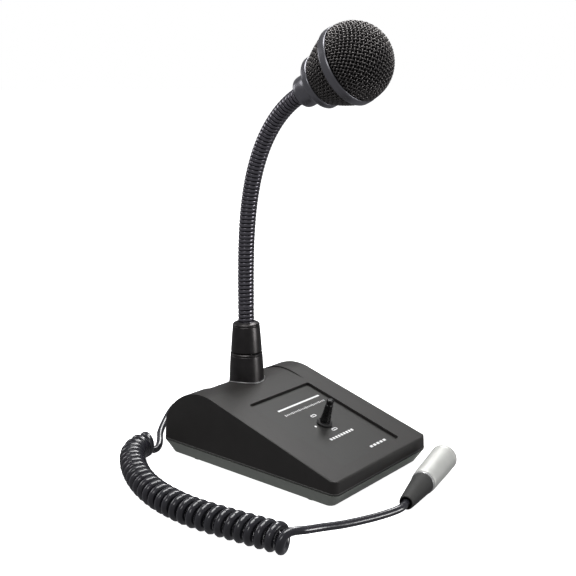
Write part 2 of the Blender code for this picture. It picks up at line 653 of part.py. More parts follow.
def build_plug():
    frame = add_frame("plug_frame", PLUG_START, (0, math.pi / 2, PLUG_TURN))
    bore = CORD_RADIUS + GAP
    boot = [(0.0076, BOOT_LENGTH), (0.0048, 0.0008), (0.0042, 0), (bore, 0), (bore, BOOT_LENGTH)]
    add_turned("plug_boot", boot, BLACK_RUBBER, parent=frame)
    ring_low = BOOT_LENGTH + GAP
    rear = ring_low + PLUG_RING_WIDTH
    add_ring("plug_ring", 0.0079, bore, ring_low, rear, BRIGHT_STEEL, parent=frame)
    rear += GAP
    shell = [
        (PLUG_RADIUS - 0.0002, PLUG_LENGTH), (PLUG_RADIUS, PLUG_LENGTH - 0.0003), (0.0082, rear), (bore, rear),
        (bore, rear + 0.0020), (0.0068, rear + 0.0020), (0.0068, PLUG_STEP), (0.0081, PLUG_STEP),
        (0.0081, PLUG_LENGTH),
    ]
    add_turned("plug_shell", shell, SATIN_SILVER, parent=frame)
    insert_end = PLUG_STEP + INSERT_LENGTH
    add_cylinder("plug_insert", 0.0078, PLUG_STEP + GAP, insert_end, BLACK_PLASTIC, parent=frame, steps=24)
    low = insert_end + GAP
    pin = [(0, PIN_TIP), (0.0007, PIN_TIP), (PIN_RADIUS, PIN_TIP - 0.0008), (PIN_RADIUS, low), (0, low)]
    for index in range(3):
        angle = math.radians(45 + 90 * index)
        place = (PIN_CIRCLE * math.cos(angle), PIN_CIRCLE * math.sin(angle), 0)
        add_turned(f"plug_pin_{index + 1}", pin, SATIN_SILVER, place, parent=frame, closed=False, steps=12)


build_cover()
build_panel_plate()
build_tray()
build_feet_and_screws()
build_base_contents()
build_strain_relief()
build_switch()
build_collars()
build_neck()
build_head()
build_cord()
build_plug()
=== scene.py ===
"""Looks of the desk paging microphone: the fine shape and the finish of every piece. Metres, +Z up."""

import json
import math

import bmesh
import bpy
from mathutils import Matrix, Vector

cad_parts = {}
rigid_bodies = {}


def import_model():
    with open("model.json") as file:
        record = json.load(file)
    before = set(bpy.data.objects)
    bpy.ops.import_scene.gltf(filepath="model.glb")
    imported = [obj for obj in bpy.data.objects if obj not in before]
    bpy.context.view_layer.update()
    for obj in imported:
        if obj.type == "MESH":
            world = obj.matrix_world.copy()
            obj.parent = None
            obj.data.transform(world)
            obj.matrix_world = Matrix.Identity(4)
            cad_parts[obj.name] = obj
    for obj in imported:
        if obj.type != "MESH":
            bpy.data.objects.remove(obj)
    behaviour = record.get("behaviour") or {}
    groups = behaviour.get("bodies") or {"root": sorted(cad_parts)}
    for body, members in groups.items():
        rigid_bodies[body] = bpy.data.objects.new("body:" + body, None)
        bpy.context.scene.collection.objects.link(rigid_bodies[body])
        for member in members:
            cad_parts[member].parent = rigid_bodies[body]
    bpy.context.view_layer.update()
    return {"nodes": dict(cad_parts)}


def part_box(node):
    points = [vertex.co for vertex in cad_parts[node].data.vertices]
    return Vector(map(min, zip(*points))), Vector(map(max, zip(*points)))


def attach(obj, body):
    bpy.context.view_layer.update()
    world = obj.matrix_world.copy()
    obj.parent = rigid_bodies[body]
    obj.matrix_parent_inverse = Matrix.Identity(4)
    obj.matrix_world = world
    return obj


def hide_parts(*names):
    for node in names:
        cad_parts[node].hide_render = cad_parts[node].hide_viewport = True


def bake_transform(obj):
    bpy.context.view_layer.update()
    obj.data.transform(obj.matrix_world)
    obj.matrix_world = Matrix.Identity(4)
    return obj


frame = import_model()


# Room. The microphone stands on a white sweep in a small studio: a large soft light above, one behind on
# the right, one low in front, and two weak ones on the left and behind that draw the edges.

CAMERA_PLACE = (-0.4936, -0.4068, 0.2670)
CAMERA_DIP = math.radians(12.36)
CAMERA_HEADING = math.radians(-50.18)
CAMERA_LENS = 57.9
SENSOR_WIDTH = 36
SURROUND_SHADE = (0.20, 0.20, 0.21, 1)
BACKDROP_SHADE = (1, 1, 1, 1)

camera_data = bpy.data.cameras.new("studio_camera")
camera_data.sensor_width = SENSOR_WIDTH
camera_data.lens = CAMERA_LENS
camera = bpy.data.objects.new("studio_camera", camera_data)
camera.location = CAMERA_PLACE
camera.rotation_euler = (math.pi / 2 - CAMERA_DIP, 0, CAMERA_HEADING)
bpy.context.scene.collection.objects.link(camera)
bpy.context.scene.camera = camera
bpy.context.scene.view_settings.view_transform = "Standard"


def hang_light(name, place, aim, size, power):
    """A square softbox at a place, turned to face a point."""
    light = bpy.data.lights.new(name, "AREA")
    light.shape = "SQUARE"
    light.size = size
    light.energy = power
    lamp = bpy.data.objects.new(name, light)
    lamp.location = place
    lamp.rotation_euler = (Vector(aim) - Vector(place)).to_track_quat("-Z", "Y").to_euler()
    bpy.context.scene.collection.objects.link(lamp)


hang_light("back_softbox", (0.62, 0.27, 1.05), (0, 0, 0.08), 0.45, 9)
hang_light("top_softbox", (-0.15, 0.05, 1.30), (0, 0, 0.05), 0.8, 13)
hang_light("front_softbox", (0.55, -1.30, 0.10), (0, 0, 0.06), 0.5, 9)
hang_light("left_softbox", (-1.30, -0.20, 0.75), (0, 0, 0.12), 0.4, 2.4)
hang_light("edge_softbox", (-0.35, 1.30, 0.55), (0, 0, 0.12), 0.5, 2)

world = bpy.data.worlds.new("studio")
world.use_nodes = True
bpy.context.scene.world = world
surround = world.node_tree.nodes["Background"]
surround.inputs["Color"].default_value = SURROUND_SHADE
backdrop = world.node_tree.nodes.new("ShaderNodeBackground")
backdrop.inputs["Color"].default_value = BACKDROP_SHADE
seen = world.node_tree.nodes.new("ShaderNodeLightPath")
either = world.node_tree.nodes.new("ShaderNodeMixShader")
world.node_tree.links.new(seen.outputs["Is Camera Ray"], either.inputs[0])
world.node_tree.links.new(surround.outputs[0], either.inputs[1])
world.node_tree.links.new(backdrop.outputs[0], either.inputs[2])
world.node_tree.links.new(either.outputs[0], world.node_tree.nodes["World Output"].inputs["Surface"])


class Wire:
    """A node's output. Sums and products of wires and numbers add their Math nodes."""

    def __init__(self, graph, node, output=0):
        self.graph = graph
        self.node = node
        self.socket = node.outputs[output] if node.outputs else None

    def math(self, operation, *terms):
        return self.graph.node("ShaderNodeMath", {"operation": operation}, dict(enumerate(terms)))

    def __getitem__(self, name):
        """Another output of the same node."""
        return Wire(self.graph, self.node, name)

    def __add__(self, other):
        return self.math("ADD", self, other)

    def __sub__(self, other):
        return self.math("SUBTRACT", self, other)

    def __mul__(self, other):
        return self.math("MULTIPLY", self, other)

    def __truediv__(self, other):
        return self.math("DIVIDE", self, other)

    def __radd__(self, other):
        return self.math("ADD", other, self)

    def __rsub__(self, other):
        return self.math("SUBTRACT", other, self)

    def __rmul__(self, other):
        return self.math("MULTIPLY", other, self)

    def sine(self):
        return self.math("SINE", self)

    def cosine(self):
        return self.math("COSINE", self)

    def fraction(self):
        return self.math("FRACT", self)

    def above(self, limit):
        return self.math("GREATER_THAN", self, limit)

    def power(self, exponent):
        return self.math("POWER", self, exponent)


class Graph:
    """A node tree that is drawn by one method: type, settings, then what goes into its sockets."""

    def __init__(self, tree):
        self.tree = tree

    def node(self, kind, settings=None, sockets=None, output=0):
        node = self.tree.nodes.new(kind)
        for setting, value in (settings or {}).items():
            if setting == "stops":
                self.set_stops(node.color_ramp, value)
            else:
                setattr(node, setting, value)
        for key, value in (sockets or {}).items():
            if isinstance(value, Wire):
                self.tree.links.new(value.socket, node.inputs[key])
            else:
                node.inputs[key].default_value = value
        return Wire(self, node, output)

    @staticmethod
    def set_stops(ramp, stops):
        while len(ramp.elements) < len(stops):
            ramp.elements.new(1)
        for element, (position, shade) in zip(ramp.elements, stops):
            element.position = position
            element.color = (shade, shade, shade, 1)


class Finish(Graph):
    """A surface finish. Its constants sit on the Principled shader; only what varies is wired."""

    def __init__(self, name, **constants):
        self.material = bpy.data.materials.new(name)
        self.material.use_nodes = True
        super().__init__(self.material.node_tree)
        self.shader = self.tree.nodes["Principled BSDF"]
        self.place = self.node("ShaderNodeTexCoord", output="Object")
        for name, value in constants.items():
            self.shader.inputs[name.replace("_", " ").title().replace("Ior", "IOR")].default_value = value

    def noise(self, grain, detail=2.0, stretch=None):
        """Cloudy noise from 0 to 1, its clouds about one grain across and drawn out by stretch."""
        where = self.place
        if stretch:
            where = self.node("ShaderNodeMapping", {}, {"Vector": where, "Scale": stretch})
        return self.node("ShaderNodeTexNoise", {}, {"Vector": where, "Scale": 1 / grain, "Detail": detail})

    def steps(self, value, *stops):
        """A value read through a ramp of (position, grey) stops."""
        return self.node("ShaderNodeValToRGB", {"stops": stops}, {"Fac": value})

    def tint(self, share, first, second):
        """A colour between two, by a share from 0 to 1. The Mix node's colours are its inputs 6 and 7."""
        sockets = {0: share, 6: (*first, 1), 7: (*second, 1)}
        return self.node("ShaderNodeMix", {"data_type": "RGBA"}, sockets, output=2)

    def relief(self, height, depth, under=None):
        """A bump of a given depth in metres, over another one if given."""
        sockets = {"Height": height, "Distance": depth, "Strength": 1.0}
        if under:
            sockets["Normal"] = under
        return self.node("ShaderNodeBump", {}, sockets)

    def wear(self, **wires):
        """Wires what varies over the surface, and hands back the material."""
        for name, wire in wires.items():
            self.tree.links.new(wire.socket, self.shader.inputs[name.replace("_", " ").title()])
        return self.material


def in_finish(mesh, material):
    mesh.materials.clear()
    mesh.materials.append(material)


def new_piece(name, mesh, material):
    """A finished mesh as an object in the scene."""
    piece = bpy.data.objects.new(name, mesh)
    bpy.context.scene.collection.objects.link(piece)
    mesh.name = name
    in_finish(mesh, material)
    return piece


def set_in_place(name, mesh, material, body, slot, *replaced):
    """Puts a finished mesh on its body, in place of the plain solids; the slot argument is not used."""
    piece = new_piece(name, mesh, material)
    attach(piece, body)
    if replaced:
        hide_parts(*replaced)
    return piece


def smooth_route(points, spacing):
    """Points at an even spacing along a smooth curve through the route's points."""
    knots = [Vector(point) for point in points]
    knots = [2 * knots[0] - knots[1], *knots, 2 * knots[-1] - knots[-2]]
    line = [knots[1]]
    for before, start, end, after in zip(knots, knots[1:], knots[2:], knots[3:]):
        count = max(1, round((end - start).length / spacing))
        for step in range(1, count + 1):
            t = step / count
            bend = (2 * before - 5 * start + 4 * end - after) * t * t
            twist = (3 * (start - end) + after - before) * t ** 3
            line.append((2 * start + (end - before) * t + bend + twist) / 2)
    return line


def sweep(points, radii, sides, closed=False):
    """A round tube along a line of points, capped at both ends unless it closes on itself."""
    shape = bmesh.new()
    count = len(points)
    heading = None
    rings = []
    for index, point in enumerate(points):
        ahead = points[(index + 1) % count] if closed or index + 1 < count else point
        behind = points[index - 1] if closed or index else point
        facing = (ahead - behind).normalized()
        if heading is None:
            side = facing.orthogonal().normalized()
        else:
            side = (heading.rotation_difference(facing) @ side).normalized()
        heading = facing
        across = heading.cross(side)
        ring = []
        for k in range(sides):
            angle = 2 * math.pi * k / sides
            spoke = math.cos(angle) * side + math.sin(angle) * across
            ring.append(shape.verts.new(point + radii[index] * spoke))
        rings.append(ring)
    pairs = list(zip(rings, rings[1:])) + ([(rings[-1], rings[0])] if closed else [])
    for ring, following in pairs:
        for k in range(sides):
            after = (k + 1) % sides
            shape.faces.new((ring[k], ring[after], following[after], following[k]))
    if not closed:
        shape.faces.new(reversed(rings[0]))
        shape.faces.new(rings[-1])
    return finished_mesh(shape, sharp_angle=50)


def evaluated_mesh(thing):
    """The plain mesh that an object's modifiers make."""
    bpy.context.view_layer.update()
    depsgraph = bpy.context.evaluated_depsgraph_get()
    return bpy.data.meshes.new_from_object(thing.evaluated_get(depsgraph), depsgraph=depsgraph)


def finished_mesh(shape, sharp_angle):
    """A mesh from a shape, smooth but for the edges sharper than an angle in degrees."""
    mesh = bpy.data.meshes.new("mesh")
    shape.to_mesh(mesh)
    shape.free()
    mesh.shade_smooth()
    mesh.set_sharp_from_angle(angle=math.radians(sharp_angle))
    return mesh


# Cord. One length of 5 mm round cord in a glossy black jacket: a short lead from the rear gland, a
# left-handed curly part that was heat-set on a mandrel, and a straight tail into the plug.

CORD_DIAMETER = 0.005
CORD_EXIT = (0, 0.0925, 0.0200)
CURL_RADIUS = 0.00675
CURL_TURNS = 28.625
CURL_START = math.radians(225)
CURL_SWELL = 0.0004
CURL_STEPS = 20
CURL_SPACING = 0.0005
ROUTE_SPACING = 0.002
FLOOR_GAP = 0.0001
EASE_PASSES = 8
EASE_OUT = 6
EASE_IN = 7
CORD_SIDES = 14
LEAD_ROUTE = [
    (0.0, 0.0928, 0.0200), (-0.0015, 0.0990, 0.0203), (-0.0065, 0.1035, 0.0206),
    (-0.0140, 0.1053, 0.0206), (-0.0225, 0.1034, 0.0200), (-0.0350, 0.0977, 0.0160),
    (-0.0478, 0.0904, 0.0110), (-0.0541, 0.0844, 0.0072), (-0.0580, 0.0806, 0.0054),
    (-0.0610, 0.0785, 0.0046),
]
COIL_ROUTE = [
    (-0.0636, 0.0830), (-0.0750, 0.0828), (-0.0858, 0.0772), (-0.0968, 0.0653), (-0.1081, 0.0478),
    (-0.1163, 0.0305), (-0.1222, 0.0110), (-0.1247, -0.0066), (-0.1253, -0.0214), (-0.1241, -0.0356),
    (-0.1223, -0.0492), (-0.1201, -0.0633), (-0.1178, -0.0774), (-0.1152, -0.0913),
]
TAIL_ROUTE = [
    (-0.1128, -0.0955, 0.0158), (-0.1090, -0.0968, 0.0150), (-0.0960, -0.1000, 0.0128),
    (-0.0795, -0.1058, 0.0106), (-0.0610, -0.1118, 0.0092), (-0.0480, -0.1158, 0.0089),
    (-0.0390, -0.1183, 0.0093), (-0.0333, -0.1179, 0.0095), (-0.0290, -0.1168, 0.0095),
]


def curl_line():
    """The curly part's centreline: a helix round its route, which lies just above the floor."""
    up = Vector((0, 0, 1))
    height = CURL_RADIUS + CORD_DIAMETER / 2 + FLOOR_GAP
    route = smooth_route([(x, y, height) for x, y in COIL_ROUTE], CURL_SPACING)
    count = round(CURL_TURNS * CURL_STEPS)
    line = []
    for step in range(count + 1):
        place = step / count * (len(route) - 1)
        index = min(int(place), len(route) - 2)
        centre = route[index].lerp(route[index + 1], place - index)
        travel = (route[index + 1] - route[index]).normalized()
        side = travel.cross(up)
        angle = CURL_START + 2 * math.pi * CURL_TURNS * step / count
        line.append(centre + CURL_RADIUS * (math.cos(angle) * side + math.sin(angle) * up))
    return line


def eased(line, passes, start, end):
    """A line whose points between two places are drawn towards their neighbours' middle."""
    for _ in range(passes):
        line = [
            (line[i - 1] + 2 * line[i] + line[i + 1]) / 4 if start < i < end else line[i]
            for i in range(len(line))
        ]
    return line


lead = smooth_route(LEAD_ROUTE, ROUTE_SPACING)
curl = curl_line()
tail = smooth_route(TAIL_ROUTE, ROUTE_SPACING)
curl_first = len(lead)
curl_end = len(lead) + len(curl)
cord_line = lead + curl + tail
cord_line = eased(cord_line, EASE_PASSES, curl_first - EASE_OUT, curl_first + EASE_IN)
cord_line = eased(cord_line, EASE_PASSES, curl_end - EASE_IN, curl_end + EASE_OUT)
cord_length = sum((b - a).length for a, b in zip(cord_line, cord_line[1:]))

# The jacket swells a little along the curly part, which is lifted by as much to stay on the floor.
shares = [(k - curl_first) / len(curl) for k in range(len(cord_line))]
cord_swell = [CURL_SWELL * share if 0 < share < 1 else 0 for share in shares]
cord_swell = eased(cord_swell, EASE_PASSES, 1, len(cord_swell) - 2)
cord_radii = [CORD_DIAMETER / 2 + swell for swell in cord_swell]
cord_line = [point + Vector((0, 0, swell)) for point, swell in zip(cord_line, cord_swell)]


def cord_jacket():
    """Glossy soft jacket with a faint orange peel and handling marks."""
    jacket = Finish("cord_jacket", roughness=0.22, specular_ior_level=0.6, coat_weight=0.5,
                    coat_roughness=0.1)
    marks = jacket.noise(0.004, 4)
    peel = jacket.noise(0.0007, 2)
    return jacket.wear(
        base_color=jacket.tint(marks, (0.012, 0.012, 0.016), (0.030, 0.030, 0.036)),
        roughness=0.14 + marks * 0.18,
        normal=jacket.relief(peel, 0.00004),
    )


cord = set_in_place("cord", sweep(cord_line, cord_radii, CORD_SIDES), cord_jacket(), "base",
                    "cord_jacket", "cord_lead", "curly_coil", "cord_tail")


# Gland. A black rubber sleeve with soft ribs, pushed into the rear wall where the cord comes out.

BASE_BACK = 0.0802
RELIEF_TAIL = 0.0123
CORD_BORE = 0.0026
RIB_COUNT = 4
RIB_START = 0.0036
RIB_PITCH = 0.0022
RIB_GIRTH = 0.0043
RIB_TAPER = 0.00022
RIB_DEPTH = 0.0006


def rounded(profile, radius, closed):
    """A profile with each corner turned into a short curve."""
    points = [Vector(point) for point in profile]
    count = len(points)
    smooth = []
    for index, point in enumerate(points):
        if not closed and index in (0, count - 1):
            smooth.append(point)
            continue
        back = points[index - 1] - point
        forth = points[(index + 1) % count] - point
        reach = min(radius, 0.45 * back.length, 0.45 * forth.length)
        start = point + back.normalized() * reach
        end = point + forth.normalized() * reach
        for t in (0, 0.25, 0.5, 0.75, 1):
            smooth.append(start * (1 - t) ** 2 + point * 2 * t * (1 - t) + end * t * t)
    return smooth


def turned(profile, place, closed=True, rounding=0.0003, steps=96, squeeze=1.0):
    """A turned piece from (radius, height) points, put in place by a matrix."""
    shape = bmesh.new()
    rings = []
    for radius, height in rounded(profile, rounding, closed):
        if radius < 1e-6:
            rings.append([shape.verts.new((0, 0, height))])
            continue
        ring = []
        for k in range(steps):
            angle = 2 * math.pi * k / steps
            across = squeeze * radius * math.sin(angle)
            ring.append(shape.verts.new((radius * math.cos(angle), across, height)))
        rings.append(ring)
    for ring, following in zip(rings, rings[1:] + (rings[:1] if closed else [])):
        for k in range(steps):
            corners = []
            for vertex in (ring[k % len(ring)], ring[(k + 1) % steps % len(ring)],
                           following[(k + 1) % steps % len(following)], following[k % len(following)]):
                if vertex not in corners:
                    corners.append(vertex)
            shape.faces.new(corners)
    bmesh.ops.recalc_face_normals(shape, faces=shape.faces)
    shape.transform(place)
    return finished_mesh(shape, sharp_angle=40)


def black_rubber(name, dark=(0.011, 0.011, 0.012), light=(0.030, 0.029, 0.028)):
    """Matt black rubber with a fine moulded grain and a little dust."""
    rubber = Finish(name, roughness=0.7, specular_ior_level=0.4)
    dust = rubber.noise(0.003, 5)
    grain = rubber.noise(0.0004, 3)
    return rubber.wear(
        base_color=rubber.tint(dust, dark, light),
        roughness=0.58 + dust * 0.25,
        normal=rubber.relief(grain, 0.00005),
    )


gland_ribs = []
for rib in range(RIB_COUNT):
    foot = RIB_START + rib * RIB_PITCH
    girth = RIB_GIRTH - rib * RIB_TAPER
    groove = girth - RIB_DEPTH
    gland_ribs += [(girth, foot), (girth, foot + 0.0013), (groove, foot + 0.0014), (groove, foot + 0.0021)]
gland_profile = [
    (CORD_BORE, RELIEF_TAIL), *reversed(gland_ribs), (0.0062, 0.0028), (0.0062, 0.0006), (0.0045, 0.0006),
    (0.0045, -0.0110), (CORD_BORE, -0.0110),
]
gland_place = Matrix.Translation((0, BASE_BACK, CORD_EXIT[2])) @ Matrix.Rotation(-math.pi / 2, 4, "X")
RUBBER = black_rubber("black_rubber")
gland = set_in_place("cord_gland", turned(gland_profile, gland_place, rounding=0.0002), RUBBER, "base",
                     "black_rubber", "strain_relief")


# Base. A moulded grey tray below, and above it a cast cover in fine dark grey paint: a slope for the
# panel, a round back, and a shallow saddle between two side rails. A narrow bead runs along the cover's
# lower edge, painted lighter as a painted highlight, and the panel plate lies in a pocket on the slope.

base_low, base_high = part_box("base_tray")
BASE_WIDTH = base_high.x - base_low.x
BASE_LENGTH = base_high.y - base_low.y
PARTING = base_high.z
FOOT_HEIGHT = base_low.z
CORNER = 0.005
COVER_LOW = PARTING + 0.0006
COVER_TOP = 0.060
COVER_DRAFT = 0.973
TRAY_TAPER = 0.004
TRAY_WALL = 0.0022
COVER_WALL = 0.0032
SLOPE = math.radians(15.75)
FRONT_HEIGHT = 0.0199
BACK_RADIUS = 0.040
EDGE_ROUND = 0.0018
SADDLE_HALF = 0.0354
SADDLE_START = 0.0177
SADDLE_DEPTH = 0.0009
NECK_PLACE = 0.04525
BOSS_RADIUS = 0.0170
BOSS_LOW = 0.036
COLLAR_SEAT_RADIUS = 0.0141
COLLAR_SEAT_HEIGHT = 0.0455
STEM_HOLE = 0.0063
CORD_HOLE = 0.0048
SCREW_HOLE = 0.0018
SCREW_SINK = 0.0034
SCREW_SINK_DEPTH = 0.0014
SOFT_EDGE = math.radians(35)
SCREW_PLACES = [(side * 0.044, y) for y in (-0.066, 0.062) for side in (-1, 1)]


def slope_height(y):
    """Height of the slope's skin at Y."""
    return FRONT_HEIGHT + math.tan(SLOPE) * (y + BASE_LENGTH / 2)


ARC_CENTRE_Y = BASE_LENGTH / 2 - BACK_RADIUS
ARC_CENTRE_Z = slope_height(ARC_CENTRE_Y) - BACK_RADIUS / math.cos(SLOPE)


def back_arc(inset, steps=48):
    """The round back in (Y, Z), from the top of the slope down to its lowest tangent."""
    turns = [-SLOPE + (math.pi / 2 + SLOPE) * step / steps for step in range(steps + 1)]
    radius = BACK_RADIUS - inset
    return [(ARC_CENTRE_Y + radius * math.sin(a), ARC_CENTRE_Z + radius * math.cos(a)) for a in turns]


def side_outline(inset, bottom):
    """The cover's side in (Y, Z), all round inside its skin by an inset."""
    front = inset - BASE_LENGTH / 2
    front_top = slope_height(front) - inset / math.cos(SLOPE)
    arc = back_arc(inset)
    return [(front, bottom), (front, front_top), *arc, (arc[-1][0], bottom)]


def corner_plan(width, length, radius, steps=10):
    """A rectangle with round corners, drawn anticlockwise."""
    points = []
    for corner, (sx, sy) in enumerate([(1, 1), (-1, 1), (-1, -1), (1, -1)]):
        for step in range(steps + 1):
            angle = math.pi / 2 * (corner + step / steps)
            x = sx * (width / 2 - radius) + radius * math.cos(angle)
            y = sy * (length / 2 - radius) + radius * math.sin(angle)
            points.append((x, y))
    return points


def disc(radius, x=0.0, y=0.0, steps=48):
    turns = [2 * math.pi * k / steps for k in range(steps)]
    return [(x + radius * math.cos(a), y + radius * math.sin(a)) for a in turns]


def prism(outline, low, high, place=None, narrowing=(1, 1), sideways=False):
    """A solid with a flat outline, from low to high, each end scaled by its narrowing."""
    shape = bmesh.new()
    ends = []
    for height, scale in zip((low, high), narrowing):
        ends.append([shape.verts.new((x * scale, y * scale, height)) for x, y in outline])
    count = len(outline)
    for k in range(count):
        after = (k + 1) % count
        shape.faces.new((ends[0][k], ends[0][after], ends[1][after], ends[1][k]))
    shape.faces.new(reversed(ends[0]))
    shape.faces.new(ends[1])
    if sideways:
        shape.transform(Matrix(((0, 0, 1, 0), (1, 0, 0, 0), (0, 1, 0, 0), (0, 0, 0, 1))))
    if place:
        shape.transform(place)
    bmesh.ops.recalc_face_normals(shape, faces=shape.faces)
    mesh = bpy.data.meshes.new("prism")
    shape.to_mesh(mesh)
    shape.free()
    return mesh


def carved(mesh, rounding, *cuts, edge_round=0.0):
    """A mesh with its corners rounded, then cut or trimmed by others, then with its new edges eased."""
    scene_objects = bpy.context.scene.collection.objects
    blank = bpy.data.objects.new("blank", mesh)
    scene_objects.link(blank)
    tools = []

    def ease(width, segments):
        modifier = blank.modifiers.new("ease", "BEVEL")
        modifier.width = width
        modifier.segments = segments
        modifier.limit_method = "ANGLE"
        modifier.angle_limit = SOFT_EDGE

    if rounding:
        ease(rounding, 5)
    for operation, tool_mesh in cuts:
        tool = bpy.data.objects.new("tool", tool_mesh)
        scene_objects.link(tool)
        tools.append(tool)
        modifier = blank.modifiers.new(operation, "BOOLEAN")
        modifier.operation = operation
        modifier.solver = "EXACT"
        modifier.object = tool
    if edge_round:
        ease(edge_round, 2)
    blank.data = evaluated_mesh(blank)
    blank.modifiers.clear()
    blank.data.shade_smooth()
    blank.data.set_sharp_from_angle(angle=SOFT_EDGE)
    weighted = blank.modifiers.new("weighted", "WEIGHTED_NORMAL")
    weighted.keep_sharp = True
    weighted.weight = 100
    result = evaluated_mesh(blank)
    for thing in [blank, *tools]:
        bpy.data.objects.remove(thing)
    return result


def tray_plastic():
    """Grey moulded plastic with a matt, faintly mottled skin."""
    plastic = Finish("tray_plastic", roughness=0.5, specular_ior_level=0.45)
    mottle = plastic.noise(0.006, 5)
    grain = plastic.noise(0.0005, 3)
    return plastic.wear(
        base_color=plastic.tint(mottle, (0.250, 0.268, 0.240), (0.330, 0.352, 0.314)),
        roughness=0.42 + mottle * 0.2,
        normal=plastic.relief(grain, 0.00004),
    )


def cover_paint(name, dark, light, grain_depth):
    """Fine textured dark grey paint: tiny even grain, slow changes of tone, and a slightly polished skin."""
    paint = Finish(name, roughness=0.5, specular_ior_level=0.27)
    cloud = paint.noise(0.018, 4)
    grain = paint.noise(0.00045, 4)
    scuffs = paint.steps(paint.noise(0.0018, 6, (1, 0.35, 1)), (0.60, 0), (0.78, 1))
    return paint.wear(
        base_color=paint.tint(0.7 * cloud + 0.35 * grain, dark, light),
        roughness=0.46 + cloud * 0.10 + scuffs * 0.06,
        normal=paint.relief(grain, grain_depth),
    )


tray_narrow = 1 - 2 * TRAY_TAPER / BASE_WIDTH
tray_floor = FOOT_HEIGHT + TRAY_WALL
tray_hollow = corner_plan(BASE_WIDTH - 2 * TRAY_WALL, BASE_LENGTH - 2 * TRAY_WALL, 0.003)
tray_cuts = [("DIFFERENCE", prism(tray_hollow, tray_floor, PARTING + 0.001, narrowing=(tray_narrow, 1)))]
for x, y in SCREW_PLACES:
    tray_cuts.append(("DIFFERENCE", prism(disc(SCREW_HOLE, x, y, 24), 0, 0.006)))
    tray_cuts.append(("DIFFERENCE", prism(disc(SCREW_SINK, x, y, 32), 0, FOOT_HEIGHT + SCREW_SINK_DEPTH)))
base_plan = corner_plan(BASE_WIDTH, BASE_LENGTH, CORNER)
tray = carved(prism(base_plan, FOOT_HEIGHT, PARTING, narrowing=(tray_narrow, 1)), 0, *tray_cuts,
              edge_round=0.0003)
set_in_place("tray", tray, tray_plastic(), "base", "tray_plastic", "base_tray")

PANEL_WIDTH = 0.0666
PANEL_LENGTH = 0.0863
PANEL_CENTRE = -0.02875
PANEL_CORNER = 0.0018
PANEL_DEPTH = 0.0020
PLATE_THICKNESS = 0.0007
SWITCH_PLACE = -0.0293
BUSHING_RADIUS = 0.0029
GAP = 0.0003


def on_slope(y, lift=0.0):
    """A frame on the slope at Y, with its Z along the slope's normal."""
    turn = Matrix.Rotation(SLOPE, 4, "X")
    normal = turn @ Vector((0, 0, 1))
    return Matrix.Translation(Vector((0, y, slope_height(y))) + normal * lift) @ turn


saddle = [(SADDLE_START, slope_height(SADDLE_START)), *back_arc(SADDLE_DEPTH), *reversed(back_arc(-0.003)),
          (SADDLE_START, slope_height(SADDLE_START) + 0.003)]
half_cavity = BASE_WIDTH / 2 - COVER_WALL
cavity = carved(
    prism(side_outline(COVER_WALL, -0.01), -half_cavity, half_cavity, sideways=True), 0,
    ("DIFFERENCE", prism(disc(BOSS_RADIUS, y=NECK_PLACE), BOSS_LOW, COVER_TOP)))
pocket = corner_plan(PANEL_WIDTH, PANEL_LENGTH, PANEL_CORNER, 6)
cord_side = Matrix.Translation((0, BASE_BACK, CORD_EXIT[2])) @ Matrix.Rotation(math.pi / 2, 4, "X")
cover = carved(
    prism(side_outline(0, 0), -BASE_WIDTH / 2, BASE_WIDTH / 2, sideways=True), EDGE_ROUND,
    ("INTERSECT", prism(base_plan, COVER_LOW, COVER_TOP, narrowing=(1, COVER_DRAFT))),
    ("DIFFERENCE", cavity),
    ("DIFFERENCE", prism(saddle, -SADDLE_HALF, SADDLE_HALF, sideways=True)),
    ("DIFFERENCE", prism(disc(COLLAR_SEAT_RADIUS, y=NECK_PLACE), COLLAR_SEAT_HEIGHT, 0.065)),
    ("DIFFERENCE", prism(disc(STEM_HOLE, y=NECK_PLACE), 0.03, 0.06)),
    ("DIFFERENCE", prism(pocket, -(PANEL_DEPTH + PLATE_THICKNESS + GAP), 0.004, on_slope(PANEL_CENTRE))),
    ("DIFFERENCE", prism(disc(BUSHING_RADIUS + GAP), -0.01, 0.004, on_slope(SWITCH_PLACE))),
    ("DIFFERENCE", prism(disc(CORD_HOLE), -0.02, 0.02, cord_side)),
    edge_round=0.00025)
COVER_PAINT = cover_paint("cover_paint", (0.021, 0.0195, 0.0185), (0.036, 0.0345, 0.0325), 0.00003)
set_in_place("cover", cover, COVER_PAINT, "base", "cover_paint", "top_cover")

BEAD_RADIUS = 0.0006
BEAD_INSET = 0.0007
bead_plan = corner_plan(BASE_WIDTH - BEAD_INSET, BASE_LENGTH - BEAD_INSET, CORNER)
bead_line = [Vector((x, y, COVER_LOW + BEAD_RADIUS)) for x, y in bead_plan]
bead = sweep(bead_line, [BEAD_RADIUS] * len(bead_line), 12, closed=True)
# The bead is the cover's paint made about three times lighter: a painted highlight along the lip.
BEAD_HIGHLIGHT_PAINT = cover_paint("bead_paint", (0.06, 0.06, 0.058), (0.10, 0.10, 0.096), 0.00002)
set_in_place("cover_bead", bead, BEAD_HIGHLIGHT_PAINT, "base", "cover_paint")


def up_slope(y):
    """A world Y as a distance along the slope from the panel's centre."""
    return (y - PANEL_CENTRE) / math.cos(SLOPE)


plate_hole = prism(disc(BUSHING_RADIUS + GAP, y=up_slope(SWITCH_PLACE)), -0.01, 0.01, on_slope(PANEL_CENTRE))
plate_plan = corner_plan(PANEL_WIDTH - 2 * GAP, PANEL_LENGTH - 2 * GAP, PANEL_CORNER, 6)
plate = carved(
    prism(plate_plan, -PANEL_DEPTH - PLATE_THICKNESS, -PANEL_DEPTH, on_slope(PANEL_CENTRE)), 0,
    ("DIFFERENCE", plate_hole), edge_round=0.0001)
PLATE_PAINT = cover_paint("plate_paint", (0.022, 0.0215, 0.0205), (0.037, 0.037, 0.0345), 0.00002)
set_in_place("panel", plate, PLATE_PAINT, "base", "cover_paint", "panel_plate")


